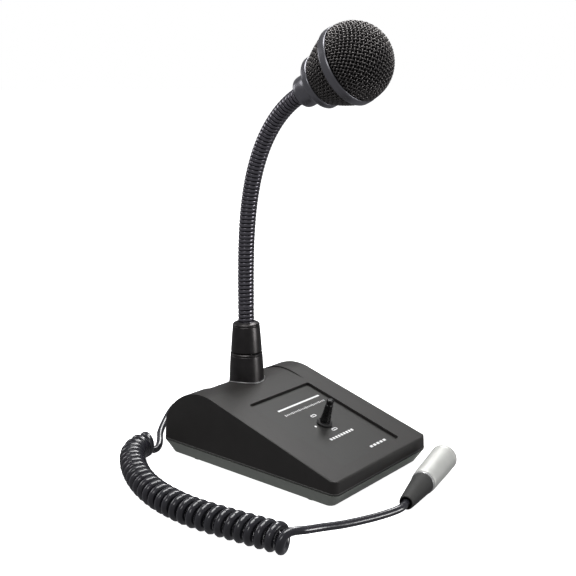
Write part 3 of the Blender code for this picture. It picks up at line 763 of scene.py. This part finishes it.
# Panel print. Plain white marks screened on the plate: a rule over a fine scale, two rings for the lever's
# two working sides, two rows of ticks, and a dot beside the switch.

INK_THICKNESS = 0.00006
HAIR = 0.00001


def white_ink():
    """Slightly worn white screen ink."""
    ink = Finish("white_ink", roughness=0.5)
    wearing = ink.noise(0.0006, 4)
    return ink.wear(
        base_color=ink.tint(wearing, (0.62, 0.62, 0.62), (0.92, 0.92, 0.92)),
        roughness=0.4 + wearing * 0.2,
    )


def ink_ring(width, length, line, x, y):
    """A flat rounded ring of ink as two outlines: the outer one and the hole."""
    outer = corner_plan(width, length, length / 2 - HAIR)
    inner = corner_plan(width - 2 * line, length - 2 * line, length / 2 - line - HAIR)
    return [[(px + x, py + y) for px, py in plan] for plan in (outer, inner)]


INK = white_ink()
ink_shape = bmesh.new()


def print_mark(outline, hole=None):
    """Adds one mark to the print, drawn on the plate in X and in Y measured from the panel's centre."""
    mesh = prism(outline, -PANEL_DEPTH + HAIR, -PANEL_DEPTH + INK_THICKNESS, on_slope(PANEL_CENTRE))
    if hole:
        through = prism(hole, -PANEL_DEPTH - 0.001, 0.001, on_slope(PANEL_CENTRE))
        mesh = carved(mesh, 0, ("DIFFERENCE", through))
    ink_shape.from_mesh(mesh)


def print_ticks(y, count, first, pitch, width, lengths):
    """A row of upright ticks at a world Y, whose lengths follow each other in turn."""
    for tick in range(count):
        x = first + tick * pitch
        length = lengths[tick % len(lengths)]
        low, high = up_slope(y) - length / 2, up_slope(y) + length / 2
        left, right = x - width / 2, x + width / 2
        print_mark([(left, low), (right, low), (right, high), (left, high)])


print_ticks(-0.0020, count=1, first=0.0050, pitch=0, width=0.0466, lengths=[0.0016])
print_ticks(-0.0085, count=24, first=-0.0175, pitch=0.0019, width=0.0007,
            lengths=[0.0022, 0.0013, 0.0013, 0.0013])
for ring_y in (-0.0185, -0.0374):
    print_mark(*ink_ring(width=0.0056, length=0.0026, line=0.0007, x=0.0013, y=up_slope(ring_y)))
print_ticks(-0.0446, count=9, first=-0.0118, pitch=0.0030, width=0.0019, lengths=[0.0022])
print_ticks(-0.0650, count=5, first=0.0075, pitch=0.0039, width=0.0026, lengths=[0.0020])
print_mark(disc(0.0009, -0.0088, up_slope(-0.0285), 24))
set_in_place("panel_print", finished_mesh(ink_shape, sharp_angle=30), INK, "base", "cover_paint")


# Switch. A bat-handle toggle: black plastic lever with an oval section and a turned groove near its tip, in
# a black bushing, held by a round dress nut with a fine knurl.

PIVOT_LIFT = 0.0006
SWITCH_FRAME = on_slope(SWITCH_PLACE, PIVOT_LIFT)
NUT_LOW = GAP - PANEL_DEPTH - PIVOT_LIFT
NUT_TOP = NUT_LOW + 0.0018
LEVER_TIP = NUT_TOP + 0.018
LEVER_FOOT = -0.0060
LEVER_OVAL = 0.8
KNURLS = 36
KNURL_SWELL = 0.012
KNURL_FROM = 0.0051


def gloss_plastic():
    """Shiny black plastic with faint flow lines and finger marks."""
    plastic = Finish("gloss_plastic", roughness=0.25, specular_ior_level=0.4)
    marks = plastic.noise(0.0022, 4)
    skin = plastic.noise(0.0004, 2)
    return plastic.wear(
        base_color=plastic.tint(marks, (0.003, 0.003, 0.003), (0.008, 0.008, 0.008)),
        roughness=0.16 + marks * 0.2,
        normal=plastic.relief(skin, 0.00003),
    )


BLACK_PLASTIC = gloss_plastic()
lever_profile = [
    (0, LEVER_TIP), (0.0022, LEVER_TIP), (0.0029, LEVER_TIP - 0.0006), (0.0030, LEVER_TIP - 0.0030),
    (0.0024, LEVER_TIP - 0.0033), (0.0024, LEVER_TIP - 0.0038), (0.0031, LEVER_TIP - 0.0041),
    (0.0039, NUT_TOP + 0.0044), (0.0046, NUT_TOP + 0.0018), (0.0042, NUT_TOP + 0.0009),
    (0.0020, NUT_TOP + 0.0007), (0.0014, LEVER_FOOT), (0, LEVER_FOOT),
]
lever = turned(lever_profile, SWITCH_FRAME, closed=False, rounding=0.0005, steps=64, squeeze=LEVER_OVAL)
set_in_place("lever", lever, BLACK_PLASTIC, "toggle", "black_plastic", "switch_lever")
nut_profile = [
    (0.0046, NUT_TOP), (0.0056, NUT_TOP - 0.0007), (0.0056, NUT_LOW + 0.0003), (0.0053, NUT_LOW),
    (BUSHING_RADIUS + 0.0002, NUT_LOW), (BUSHING_RADIUS + 0.0002, NUT_TOP),
]
nut_shape = bmesh.new()
nut_shape.from_mesh(turned(nut_profile, Matrix(), rounding=0.0002, steps=144))
for vertex in nut_shape.verts:
    if vertex.co.xy.length > KNURL_FROM:
        vertex.co.xy *= 1 + KNURL_SWELL * math.cos(KNURLS * math.atan2(vertex.co.y, vertex.co.x))
nut_shape.transform(SWITCH_FRAME)
set_in_place("dress_nut", finished_mesh(nut_shape, sharp_angle=40), RUBBER, "base", "black_plastic",
             "switch_nut")


# Neck. Two tapered dark metal collars clamp the gooseneck to the cover, over a bright seam ring. The
# gooseneck itself is a steel spring wound with round wire, so its skin is one long helical rib that bends
# anywhere. It is made in ten lengths.

NECK_RADIUS = 0.006
NECK_START = 0.0932
NECK_LENGTH = 0.186
NECK_BEND = math.radians(65)
NECK_GROWTH = 2.65
NECK_STEP = 0.0004
NECK_LINKS = 9
FIRST_PIVOT = 0.004
LAST_REACH = 0.0182
NECK_ROOT = -0.0049
NECK_TOP = NECK_LENGTH + 0.007
COLLAR_SPLIT = 0.0724
COLLAR_TOP = 0.0948
COLLAR_FOOT = 0.0458
WIRE_PITCH = 0.0029
WIRE_DEPTH = 0.0009
BLEND_REACH = 0.45
NECK_SIDES = 40
SEAM_RADIUS = 0.0136
SEAM_WIRE = 0.0004
SEAM_LIFT = 0.0002
SEAM_STEPS = 96


def dark_metal(name, dark, light, roughness, stretch):
    """Dark plated metal with fine tooling lines and a soft, uneven sheen."""
    metal = Finish(name, roughness=roughness, metallic=0.85)
    sheen = metal.noise(0.006, 4)
    lines = metal.noise(0.0016, 5, stretch)
    return metal.wear(
        base_color=metal.tint(sheen, dark, light),
        roughness=roughness - 0.08 + lines * 0.16,
        normal=metal.relief(lines, 0.000012),
    )


COLLAR_METAL = dark_metal("collar_metal", (0.036, 0.034, 0.034), (0.068, 0.064, 0.064), 0.34, (1, 1, 9))
bore = NECK_RADIUS + GAP
lower_profile = [
    (0.0112, COLLAR_SPLIT - GAP), (0.0120, COLLAR_SPLIT - 0.0011), (0.0120, COLLAR_SPLIT - 0.0018),
    (0.0118, COLLAR_SPLIT - 0.0020), (0.0118, COLLAR_SPLIT - 0.0023), (0.0121, COLLAR_SPLIT - 0.0026),
    (0.0134, COLLAR_FOOT + 0.0010), (0.0131, COLLAR_FOOT), (bore, COLLAR_FOOT), (bore, COLLAR_SPLIT - GAP),
]
upper_profile = [
    (0.0070, COLLAR_TOP + 0.0006), (0.0095, COLLAR_TOP - 0.0006), (0.0101, COLLAR_TOP - 0.0014),
    (0.0101, COLLAR_TOP - 0.0019), (0.0098, COLLAR_TOP - 0.0021), (0.0098, COLLAR_TOP - 0.0024),
    (0.0102, COLLAR_TOP - 0.0027), (0.0117, COLLAR_SPLIT + 0.0008), (0.0112, COLLAR_SPLIT),
    (bore, COLLAR_SPLIT), (bore, COLLAR_TOP + 0.0006),
]
neck_stand = Matrix.Translation((0, NECK_PLACE, 0))
for level, profile in (("lower", lower_profile), ("upper", upper_profile)):
    set_in_place(f"collar_{level}", turned(profile, neck_stand, rounding=0.0002), COLLAR_METAL, "base",
                 "dark_metal", f"{level}_collar")


def saddle_height(y):
    """Height of the saddle's skin, on the slope and over the round back."""
    if y < ARC_CENTRE_Y - BACK_RADIUS * math.sin(SLOPE):
        return slope_height(y) - SADDLE_DEPTH
    return ARC_CENTRE_Z + math.sqrt(BACK_RADIUS ** 2 - (y - ARC_CENTRE_Y) ** 2) - SADDLE_DEPTH


seam = []
for x, y in disc(SEAM_RADIUS, y=NECK_PLACE, steps=SEAM_STEPS):
    seam.append(Vector((x, y, saddle_height(y) + SEAM_LIFT)))
SEAM_METAL = dark_metal("seam_metal", (0.30, 0.30, 0.30), (0.45, 0.45, 0.45), 0.4, (1, 1, 1))
set_in_place("collar_seam", sweep(seam, [SEAM_WIRE] * len(seam), 8, closed=True), SEAM_METAL, "base",
             "bright_steel")


def neck_line():
    """The neck's centreline, whose bend gathers towards the head."""
    count = round(NECK_LENGTH / NECK_STEP)
    step = NECK_LENGTH / count
    line = [Vector((0, NECK_PLACE, NECK_START))]
    for index in range(count):
        angle = NECK_BEND * ((index + 0.5) / count) ** NECK_GROWTH
        line.append(line[-1] + step * Vector((0, -math.sin(angle), math.cos(angle))))
    return line


NECK_LINE = neck_line()


def neck_point(distance):
    """A place on the centreline, which carries on straight past both ends."""
    share = min(max(distance / NECK_LENGTH, 0), 1)
    position = share * (len(NECK_LINE) - 1)
    index = min(int(position), len(NECK_LINE) - 2)
    point = NECK_LINE[index].lerp(NECK_LINE[index + 1], position - index)
    direction = (NECK_LINE[index + 1] - NECK_LINE[index]).normalized()
    return point + direction * (distance - share * NECK_LENGTH)


def open_tree(name, sizes):
    """A new geometry tree whose inputs are a mesh, named sizes and a finish. Hands back graph and inputs."""
    tree = bpy.data.node_groups.new(name, "GeometryNodeTree")
    tree.interface.new_socket("Geometry", in_out="OUTPUT", socket_type="NodeSocketGeometry")
    tree.interface.new_socket("Geometry", in_out="INPUT", socket_type="NodeSocketGeometry")
    for size, value in sizes.items():
        kind = "NodeSocketInt" if isinstance(value, int) else "NodeSocketFloat"
        tree.interface.new_socket(size, in_out="INPUT", socket_type=kind).default_value = value
    tree.interface.new_socket("Finish", in_out="INPUT", socket_type="NodeSocketMaterial")
    graph = Graph(tree)
    return graph, graph.node("NodeGroupInput")


def close_tree(graph, given, geometry):
    """Ends a tree: real geometry, smooth, in its finish."""
    real = graph.node("GeometryNodeRealizeInstances", {}, {"Geometry": geometry})
    smooth = graph.node("GeometryNodeSetShadeSmooth", {}, {"Geometry": real})
    painted = graph.node("GeometryNodeSetMaterial", {}, {"Geometry": smooth, "Material": given["Finish"]})
    graph.node("NodeGroupOutput", {}, {"Geometry": painted})


def grown(graph, mesh, inputs):
    """The plain mesh that a tree makes from a mesh."""
    thing = bpy.data.objects.new("grown", mesh)
    bpy.context.scene.collection.objects.link(thing)
    modifier = thing.modifiers.new("grow", "NODES")
    modifier.node_group = graph.tree
    for item in graph.tree.interface.items_tree:
        if item.in_out == "INPUT" and item.name in inputs:
            modifier[item.identifier] = inputs[item.name]
    result = evaluated_mesh(thing)
    bpy.data.objects.remove(thing)
    return result


def stored(graph, geometry, name, value):
    """The geometry with a value kept on its points under a name."""
    sockets = {"Geometry": geometry, "Name": name, "Value": value}
    return graph.node("GeometryNodeStoreNamedAttribute", {"data_type": "FLOAT", "domain": "POINT"}, sockets)


def recalled(graph, name):
    """A value that was stored under a name."""
    return graph.node("GeometryNodeInputNamedAttribute", {"data_type": "FLOAT"}, {"Name": name}, "Attribute")


NECK_SIZES = {
    "Core Radius": NECK_RADIUS, "Wire Pitch": WIRE_PITCH, "Wire Depth": WIRE_DEPTH,
    "Ring Spacing": WIRE_PITCH / 10, "From": 0.0, "To": NECK_TOP - NECK_ROOT,
}


def wound_neck_tree():
    """Round wire wound on a core: a tube along the line whose skin sinks between the turns of the wire."""
    graph, given = open_tree("wound_neck", NECK_SIZES)
    spline = graph.node("GeometryNodeSplineParameter")
    line = graph.node("GeometryNodeMeshToCurve", {}, {"Mesh": given["Geometry"]})
    line = stored(graph, line, "along", spline["Length"])
    # By length, the Trim Curve node's ends are its inputs 4 and 5.
    ends = {0: line, 4: given["From"], 5: given["To"]}
    line = graph.node("GeometryNodeTrimCurve", {"mode": "LENGTH"}, ends)
    spacing = {"Curve": line, "Length": given["Ring Spacing"]}
    line = graph.node("GeometryNodeResampleCurve", {"mode": "LENGTH"}, spacing)
    girth = {"Resolution": NECK_SIDES, "Radius": given["Core Radius"]}
    ring = graph.node("GeometryNodeCurvePrimitiveCircle", {"mode": "RADIUS"}, girth)
    ring = stored(graph, ring, "around", spline["Factor"])
    tube = graph.node("GeometryNodeCurveToMesh", {}, {"Curve": line, "Profile Curve": ring})
    turns = recalled(graph, "along") / given["Wire Pitch"] - recalled(graph, "around")
    across = turns.fraction() * 2 - 1
    square = across * across
    tube = stored(graph, tube, "crown", (1 - square * square).power(0.5))
    depth = (recalled(graph, "crown") - 1) * given["Wire Depth"]
    inward = {0: graph.node("GeometryNodeInputNormal"), "Scale": depth}
    sink = graph.node("ShaderNodeVectorMath", {"operation": "SCALE"}, inward)
    skin = graph.node("GeometryNodeSetPosition", {}, {"Geometry": tube, "Offset": sink})
    close_tree(graph, given, skin)
    return graph


def neck_finish():
    """Black-plated spring wire, with a painted highlight on the crowns of its turns and painted shade between
    them.
    """
    wire = Finish("neck_metal", roughness=0.3, metallic=0.9)
    crown = wire.node("ShaderNodeAttribute", {"attribute_name": "crown"}, output="Fac")
    # The colour runs from near black in the grooves to light grey on the crowns: painted shade between the
    # turns and a painted highlight on the crowns.
    crown_light_and_groove_shade = wire.steps(crown, (0.70, 0), (1.0, 1))
    rub = wire.noise(0.004, 4)
    return wire.wear(
        base_color=wire.tint(crown_light_and_groove_shade, (0.003, 0.003, 0.005), (0.20, 0.192, 0.215)),
        roughness=0.44 - 0.26 * crown_light_and_groove_shade + 0.10 * rub,
    )


NECK_METAL = neck_finish()
neck_tree = wound_neck_tree()
NECK_SPACING = 0.0005
guide_count = round((NECK_TOP - NECK_ROOT) / NECK_SPACING)
guide = bpy.data.meshes.new("neck_guide")
guide.from_pydata([neck_point(NECK_ROOT + k * NECK_SPACING) for k in range(guide_count + 1)],
                  [(k, k + 1) for k in range(guide_count)], [])
PIVOT_STEP = (NECK_LENGTH - LAST_REACH - FIRST_PIVOT) / NECK_LINKS
neck_bodies = ["base", *[f"neck_{k + 1}" for k in range(NECK_LINKS)], "head"]
for k in range(NECK_LINKS + 1):
    pivot = FIRST_PIVOT + PIVOT_STEP * k
    start = NECK_ROOT if k == 0 else pivot - PIVOT_STEP / 2
    end = NECK_TOP if k == NECK_LINKS else pivot + PIVOT_STEP / 2
    ends = {"From": start - NECK_ROOT, "To": end - NECK_ROOT, "Finish": NECK_METAL}
    skin = grown(neck_tree, guide, NECK_SIZES | ends)
    shape = bmesh.new()
    shape.from_mesh(skin)
    bmesh.ops.holes_fill(shape, edges=shape.edges)
    bmesh.ops.recalc_face_normals(shape, faces=shape.faces)
    covered = [f"gooseneck_segment_{k + 1}"] if k < NECK_LINKS else ["gooseneck_tip"]
    if k == 0:
        covered.append("gooseneck_root")
    piece = new_piece(f"neck_wrap_{k}", finished_mesh(shape, sharp_angle=75), NECK_METAL)
    reach = BLEND_REACH * PIVOT_STEP
    neck_bodies[k]
    neck_bodies[k + 1]
    neck_point(pivot - reach)
    neck_point(pivot + reach)
    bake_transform(piece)
    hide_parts(*covered)


# Head. A ball of woven wire in two halves, pressed into a grey metal band. The rear half narrows to a
# flange, and a waisted ferrule joins the flange to the gooseneck. Black foam lies behind all the wire.

BAND_RADIUS = 0.027
BAND_WIDTH = 0.006
FLANGE_FRONT = -0.0248
FLANGE_REAR = -0.0301
FLANGE_RADIUS = 0.0184
FERRULE_REAR = -0.0458
FERRULE_RADIUS = 0.0109
HEAD_BORE = 0.0090
HEAD_AXIS = Vector((0, -math.sin(NECK_BEND), math.cos(NECK_BEND)))
HEAD = Matrix.Translation(NECK_LINE[-1] - HEAD_AXIS * FERRULE_REAR) @ Matrix.Rotation(NECK_BEND, 4, "X")


def satin_grey(name, dark, light):
    """Grey satin lacquer over metal, with faint cloudiness and a fine orange peel."""
    lacquer = Finish(name, roughness=0.28, metallic=0.85)
    cloud = lacquer.noise(0.005, 4)
    peel = lacquer.noise(0.0005, 3)
    return lacquer.wear(
        base_color=lacquer.tint(cloud, dark, light),
        roughness=0.24 + cloud * 0.12,
        normal=lacquer.relief(peel, 0.00002),
    )


RING_METAL = satin_grey("ring_metal", (0.19, 0.188, 0.205), (0.26, 0.258, 0.278))
ferrule_profile = [
    (0.0150, FLANGE_REAR - GAP), (0.0146, FLANGE_REAR - 0.0008), (0.0132, FLANGE_REAR - 0.0016),
    (0.0121, FLANGE_REAR - 0.0030), (0.0114, FLANGE_REAR - 0.0046), (0.0110, FLANGE_REAR - 0.0064),
    (FERRULE_RADIUS, FLANGE_REAR - 0.0080), (FERRULE_RADIUS, FERRULE_REAR + 0.0034),
    (0.0105, FERRULE_REAR + 0.0016), (0.0096, FERRULE_REAR + 0.0005), (0.0082, FERRULE_REAR),
    (bore, FERRULE_REAR), (bore, FLANGE_REAR - 0.0082), (HEAD_BORE, FLANGE_REAR - 0.0082),
    (HEAD_BORE, FLANGE_REAR - GAP),
]
ferrule = turned(ferrule_profile, HEAD, rounding=0.0008)
set_in_place("ferrule", ferrule, RING_METAL, "head", "ring_metal", "head_ferrule")
flange_profile = [
    (FLANGE_RADIUS - 0.0005, FLANGE_FRONT), (FLANGE_RADIUS, FLANGE_FRONT - 0.0007),
    (FLANGE_RADIUS, FLANGE_REAR + 0.0014), (FLANGE_RADIUS - 0.0010, FLANGE_REAR), (HEAD_BORE, FLANGE_REAR),
    (HEAD_BORE, FLANGE_FRONT),
]
flange = turned(flange_profile, HEAD, rounding=0.0005)
set_in_place("flange", flange, RING_METAL, "head", "ring_metal", "flange_ring")
band_profile = [
    (0.0262, 0), (0.0266, 0), (BAND_RADIUS, -0.0009), (BAND_RADIUS, 0.0009 - BAND_WIDTH),
    (0.0266, -BAND_WIDTH), (0.0240, -BAND_WIDTH), (0.0240, -0.0008), (0.0258, -0.0008),
]
band = turned(band_profile, HEAD, rounding=0.0004, steps=128)
set_in_place("band", band, RING_METAL, "head", "ring_metal", "band_ring")

WIRE_RADIUS = 0.00051
WIRE_SIDES = 6
CRIMP = 0.00058
CRIMP_PLAY = 0.0003
WEAVE_TURN = Matrix.Rotation(math.radians(-28), 4, "Z")
DOME_SIZES = {
    "Wires": 33, "Samples": 164, "Pitch": 0.00245, "Wire Radius": WIRE_RADIUS, "Crimp": CRIMP,
    "Dome Radius": BAND_RADIUS - CRIMP_PLAY - WIRE_RADIUS - CRIMP, "Rim": 0.0398,
}
CONE_SIZES = {
    "Hoops": 9, "Ribs": 62, "Hoop Samples": 361, "Rib Samples": 61, "Wire Radius": WIRE_RADIUS * 0.95,
    "Crimp": CRIMP, "Wide Radius": 0.0262 - WIRE_RADIUS - CRIMP, "Depth": 0.0186, "Slope": 0.329,
    "Curve": 6.68, "Wide Height": -0.0061,
}


def laid_wires(graph, count, samples):
    """Straight wires of length one side by side, each with its number in X and its share along in Y."""
    wire = graph.node("GeometryNodeCurvePrimitiveLine", {}, {"Start": (0, 0, 0), "End": (0, 1, 0)})
    wire = graph.node("GeometryNodeResampleCurve", {"mode": "COUNT"}, {"Curve": wire, "Count": samples})
    starts = graph.node("GeometryNodeMeshLine", {"mode": "OFFSET"}, {"Count": count, "Offset": (1, 0, 0)})
    wires = graph.node("GeometryNodeInstanceOnPoints", {}, {"Points": starts, "Instance": wire})
    wires = graph.node("GeometryNodeRealizeInstances", {}, {"Geometry": wires})
    apart = graph.node("ShaderNodeSeparateXYZ", {}, {0: graph.node("GeometryNodeInputPosition")})
    wires = stored(graph, wires, "number", apart["X"])
    return stored(graph, wires, "share", apart["Y"])


def drawn_wires(graph, wires, x, y, z, radius):
    """Moves the laid wires to x, y, z and gives them their thickness."""
    place = graph.node("ShaderNodeCombineXYZ", {}, {"X": x, "Y": y, "Z": z})
    bent = graph.node("GeometryNodeSetPosition", {}, {"Geometry": wires, "Position": place})
    girth = {"Resolution": WIRE_SIDES, "Radius": radius}
    ring = graph.node("GeometryNodeCurvePrimitiveCircle", {"mode": "RADIUS"}, girth)
    tube = {"Curve": bent, "Profile Curve": ring, "Fill Caps": True}
    return graph.node("GeometryNodeCurveToMesh", {}, tube)


def woven(graph, given, both):
    """Ends a tree with its two sets of wires."""
    cloth = graph.node("GeometryNodeJoinGeometry")
    for wires in both:
        graph.tree.links.new(wires.socket, cloth.node.inputs[0])
    close_tree(graph, given, cloth)
    return graph


def woven_dome_tree():
    """Plain-woven wire over a dome: two crossed sets of wires that ride over and under each other."""
    graph, given = open_tree("woven_dome", DOME_SIZES)
    middle = (given["Wires"] - 1) / 2
    both = []
    for crossing in (0, 1):
        wires = laid_wires(graph, given["Wires"], given["Samples"])
        number = recalled(graph, "number") - middle
        along = (recalled(graph, "share") - 0.5) * (given["Wires"] - 1)
        reach = (number * number + along * along).power(0.5) * given["Pitch"] + 1e-6
        outside = {"Geometry": wires, "Selection": reach.above(given["Rim"])}
        wires = graph.node("GeometryNodeDeleteGeometry", {"domain": "POINT"}, outside)
        wave = ((along + number + crossing) * math.pi).cosine()
        height = given["Dome Radius"] + wave * given["Crimp"]
        bend = reach / given["Dome Radius"]
        out = height * bend.sine() * given["Pitch"] / reach
        first, second = (number, along) if crossing == 0 else (along * -1, number)
        both.append(drawn_wires(graph, wires, first * out, second * out, height * bend.cosine(),
                                given["Wire Radius"]))
    return woven(graph, given, both)


def woven_cone_tree():
    """Plain-woven wire on the narrowing rear: hoops, and ribs that run from the band to the flange."""
    graph, given = open_tree("woven_cone", CONE_SIZES)
    both = []
    for kind in ("Hoop", "Rib"):
        wires = laid_wires(graph, given[f"{kind}s"], given[f"{kind} Samples"])
        number = recalled(graph, "number")
        share = recalled(graph, "share")
        if kind == "Hoop":
            turn = share * (2 * math.pi)
            depth = (number + 0.5) / given["Hoops"] * given["Depth"]
            wave = (share * given["Ribs"] + number) * math.pi
        else:
            turn = number / given["Ribs"] * (2 * math.pi)
            depth = share * given["Depth"]
            wave = (share * given["Hoops"] - 0.5 + number + 1) * math.pi
        lift = wave.cosine() * given["Crimp"]
        radius = given["Wide Radius"] - depth * given["Slope"] - depth * depth * given["Curve"] + lift
        both.append(drawn_wires(graph, wires, radius * turn.cosine(), radius * turn.sine(),
                                given["Wide Height"] - depth, given["Wire Radius"]))
    return woven(graph, given, both)


def grille_wire():
    """Black lacquered steel wire, rubbed lighter here and there."""
    wire = Finish("grille_wire", roughness=0.3, metallic=0.8)
    rub = wire.noise(0.0035, 5)
    fleck = wire.noise(0.0005, 3)
    return wire.wear(
        base_color=wire.tint(0.6 * rub + 0.4 * fleck, (0.050, 0.046, 0.046), (0.200, 0.190, 0.185)),
        roughness=0.24 + rub * 0.16,
        normal=wire.relief(fleck, 0.00002),
    )


GRILLE_WIRE = grille_wire()
nothing = bpy.data.meshes.new("nothing")
front = grown(woven_dome_tree(), nothing, DOME_SIZES | {"Finish": GRILLE_WIRE})
front.transform(HEAD @ WEAVE_TURN)
set_in_place("front_wire", front, GRILLE_WIRE, "head", "dark_metal", "front_grille")
rear = grown(woven_cone_tree(), nothing, CONE_SIZES | {"Finish": GRILLE_WIRE})
rear.transform(HEAD)
set_in_place("rear_wire", rear, GRILLE_WIRE, "head", "dark_metal", "rear_grille")


def black_foam():
    """Open-cell foam, nearly black."""
    foam = Finish("black_foam", roughness=0.95)
    cells = foam.noise(0.0009, 3)
    return foam.wear(
        base_color=foam.tint(cells, (0.002, 0.002, 0.002), (0.009, 0.008, 0.008)),
        roughness=0.85 + cells * 0.15,
        normal=foam.relief(cells, 0.0004),
    )


FOAM = black_foam()
LINER_WALL = 0.0008
liner_outside = [(0.0234, -0.0062), (0.0221, -0.0105), (0.0196, -0.0165), (0.0158, -0.0243)]
liner_profile = liner_outside + [(radius - LINER_WALL, height) for radius, height in reversed(liner_outside)]
set_in_place("rear_liner", turned(liner_profile, HEAD, rounding=0.0002, steps=64), FOAM, "head", "grey_foam")


# Plug. A three-pin audio plug lying on its side: tapered rubber boot with a hollow mouth round the cord, a
# bright ring, and a satin nickel shell that widens towards its open nose.

PLUG_START = Vector((-0.0300, -0.1171, 0.0095))
PLUG_TURN = math.radians(13.7)
PLUG_LYING = Matrix.Rotation(PLUG_TURN, 4, "Z") @ Matrix.Rotation(math.pi / 2, 4, "Y")
PLUG = Matrix.Translation(PLUG_START) @ PLUG_LYING
BOOT_LENGTH = 0.0325
PLUG_LENGTH = 0.082
PLUG_RADIUS = 0.0095
RING_LENGTH = 0.0022
RING_RADIUS = 0.0080
SHELL_STEP = 0.0580


def satin_nickel(name, dark, light, roughness):
    """Satin nickel plating with fine turning lines along its length."""
    nickel = Finish(name, roughness=roughness, metallic=0.6)
    cloud = nickel.noise(0.007, 4)
    lines = nickel.noise(0.0009, 4)
    return nickel.wear(
        base_color=nickel.tint(cloud, dark, light),
        roughness=roughness - 0.05 + cloud * 0.12,
        normal=nickel.relief(lines, 0.000008),
    )


boot_profile = [
    (0.0076, BOOT_LENGTH), (0.0074, BOOT_LENGTH - 0.0020), (0.0049, 0.0016), (0.0046, 0.0002), (0.0040, 0),
    (0.0037, 0.0006), (0.0036, 0.0040), (CORD_BORE, 0.0044), (CORD_BORE, BOOT_LENGTH),
]
BOOT_RUBBER = black_rubber("boot_rubber", (0.024, 0.024, 0.023), (0.046, 0.046, 0.044))
boot = set_in_place("boot", turned(boot_profile, PLUG, rounding=0.0004), BOOT_RUBBER, "base",
                    "black_rubber", "plug_boot")
NICKEL = satin_nickel("satin_nickel", (0.60, 0.605, 0.575), (0.70, 0.705, 0.675), 0.55)
BRIGHT = satin_nickel("bright_steel", (0.66, 0.66, 0.65), (0.80, 0.80, 0.79), 0.22)
ring_low = BOOT_LENGTH + GAP
ring_high = ring_low + RING_LENGTH
ring_profile = [
    (RING_RADIUS, ring_high), (RING_RADIUS, ring_low), (CORD_BORE, ring_low), (CORD_BORE, ring_high),
]
boot_ring = set_in_place("boot_ring", turned(ring_profile, PLUG, rounding=0.0004), BRIGHT, "base",
                         "bright_steel", "plug_ring")
shell_rear = ring_high + GAP
shell_profile = [
    (0.0086, PLUG_LENGTH), (0.0092, PLUG_LENGTH), (PLUG_RADIUS, PLUG_LENGTH - 0.0005),
    (0.00947, PLUG_LENGTH - 0.0034), (0.00925, PLUG_LENGTH - 0.0037), (0.00925, PLUG_LENGTH - 0.0042),
    (0.00944, PLUG_LENGTH - 0.0045), (0.00835, shell_rear + 0.0012), (0.0080, shell_rear),
    (CORD_BORE, shell_rear), (CORD_BORE, shell_rear + 0.0020), (0.0068, shell_rear + 0.0020),
    (0.0068, SHELL_STEP), (0.0081, SHELL_STEP), (0.0081, PLUG_LENGTH - 0.0006),
]
shell = set_in_place("shell", turned(shell_profile, PLUG, rounding=0.0002), NICKEL, "base", "satin_silver",
                     "plug_shell")


# Carried-over pieces. What the housings hide, and the small fittings, keep their plain solids and only get
# their finish: rubber feet, zinc-plated steel, moulded plastic, brass tags and a green circuit board.

def circuit_green():
    """Green solder mask over copper tracks that show through faintly."""
    board = Finish("board_green", roughness=0.35)
    tracks = board.steps(board.noise(0.002, 1, (1, 0.2, 1)), (0.45, 0), (0.52, 1))
    return board.wear(
        base_color=board.tint(tracks, (0.012, 0.075, 0.030), (0.030, 0.130, 0.050)),
        roughness=0.30 + tracks * 0.1,
    )


INNER_METAL = dark_metal("inner_metal", (0.09, 0.09, 0.092), (0.16, 0.16, 0.162), 0.45, (1, 1, 1))
BRASS = satin_nickel("brass", (0.55, 0.36, 0.13), (0.68, 0.47, 0.20), 0.3)
carried = {
    RUBBER: ["foot_1", "foot_2", "foot_3", "foot_4", "capsule_mount"],
    INNER_METAL: ["ballast_plate", "switch_bushing", *[f"case_screw_{k}" for k in (1, 2, 3, 4)]],
    BRIGHT: ["neck_stem", "neck_washer", "neck_nut", "lever_pin", "head_stud", "capsule"],
    BLACK_PLASTIC: ["terminal_block", "cord_clamp", "switch_body", "plug_insert"],
    NICKEL: ["plug_pin_1", "plug_pin_2", "plug_pin_3"],
    BRASS: ["switch_terminal_1", "switch_terminal_2", "switch_terminal_3"],
    circuit_green(): ["circuit_board"],
    FOAM: ["foam_liner"],
}
for material, nodes in carried.items():
    for node in nodes:
        in_finish(frame["nodes"][node].data, material)


# Floor. The white sweep under the microphone, which glows evenly so that no shadow falls on it, and which
# neither lights the underside nor shows in the glossy pieces.

FLOOR_SIZE = 80
bpy.ops.mesh.primitive_plane_add(size=FLOOR_SIZE, location=(0, 0, 0))
floor = bpy.context.active_object
floor.name = "floor"
floor_paint = Finish("studio_floor", base_color=(0.9, 0.9, 0.9, 1), roughness=0.9,
                     emission_color=(1, 1, 1, 1), emission_strength=1.0)
floor.data.materials.append(floor_paint.material)
floor.visible_diffuse = False
floor.visible_glossy = False
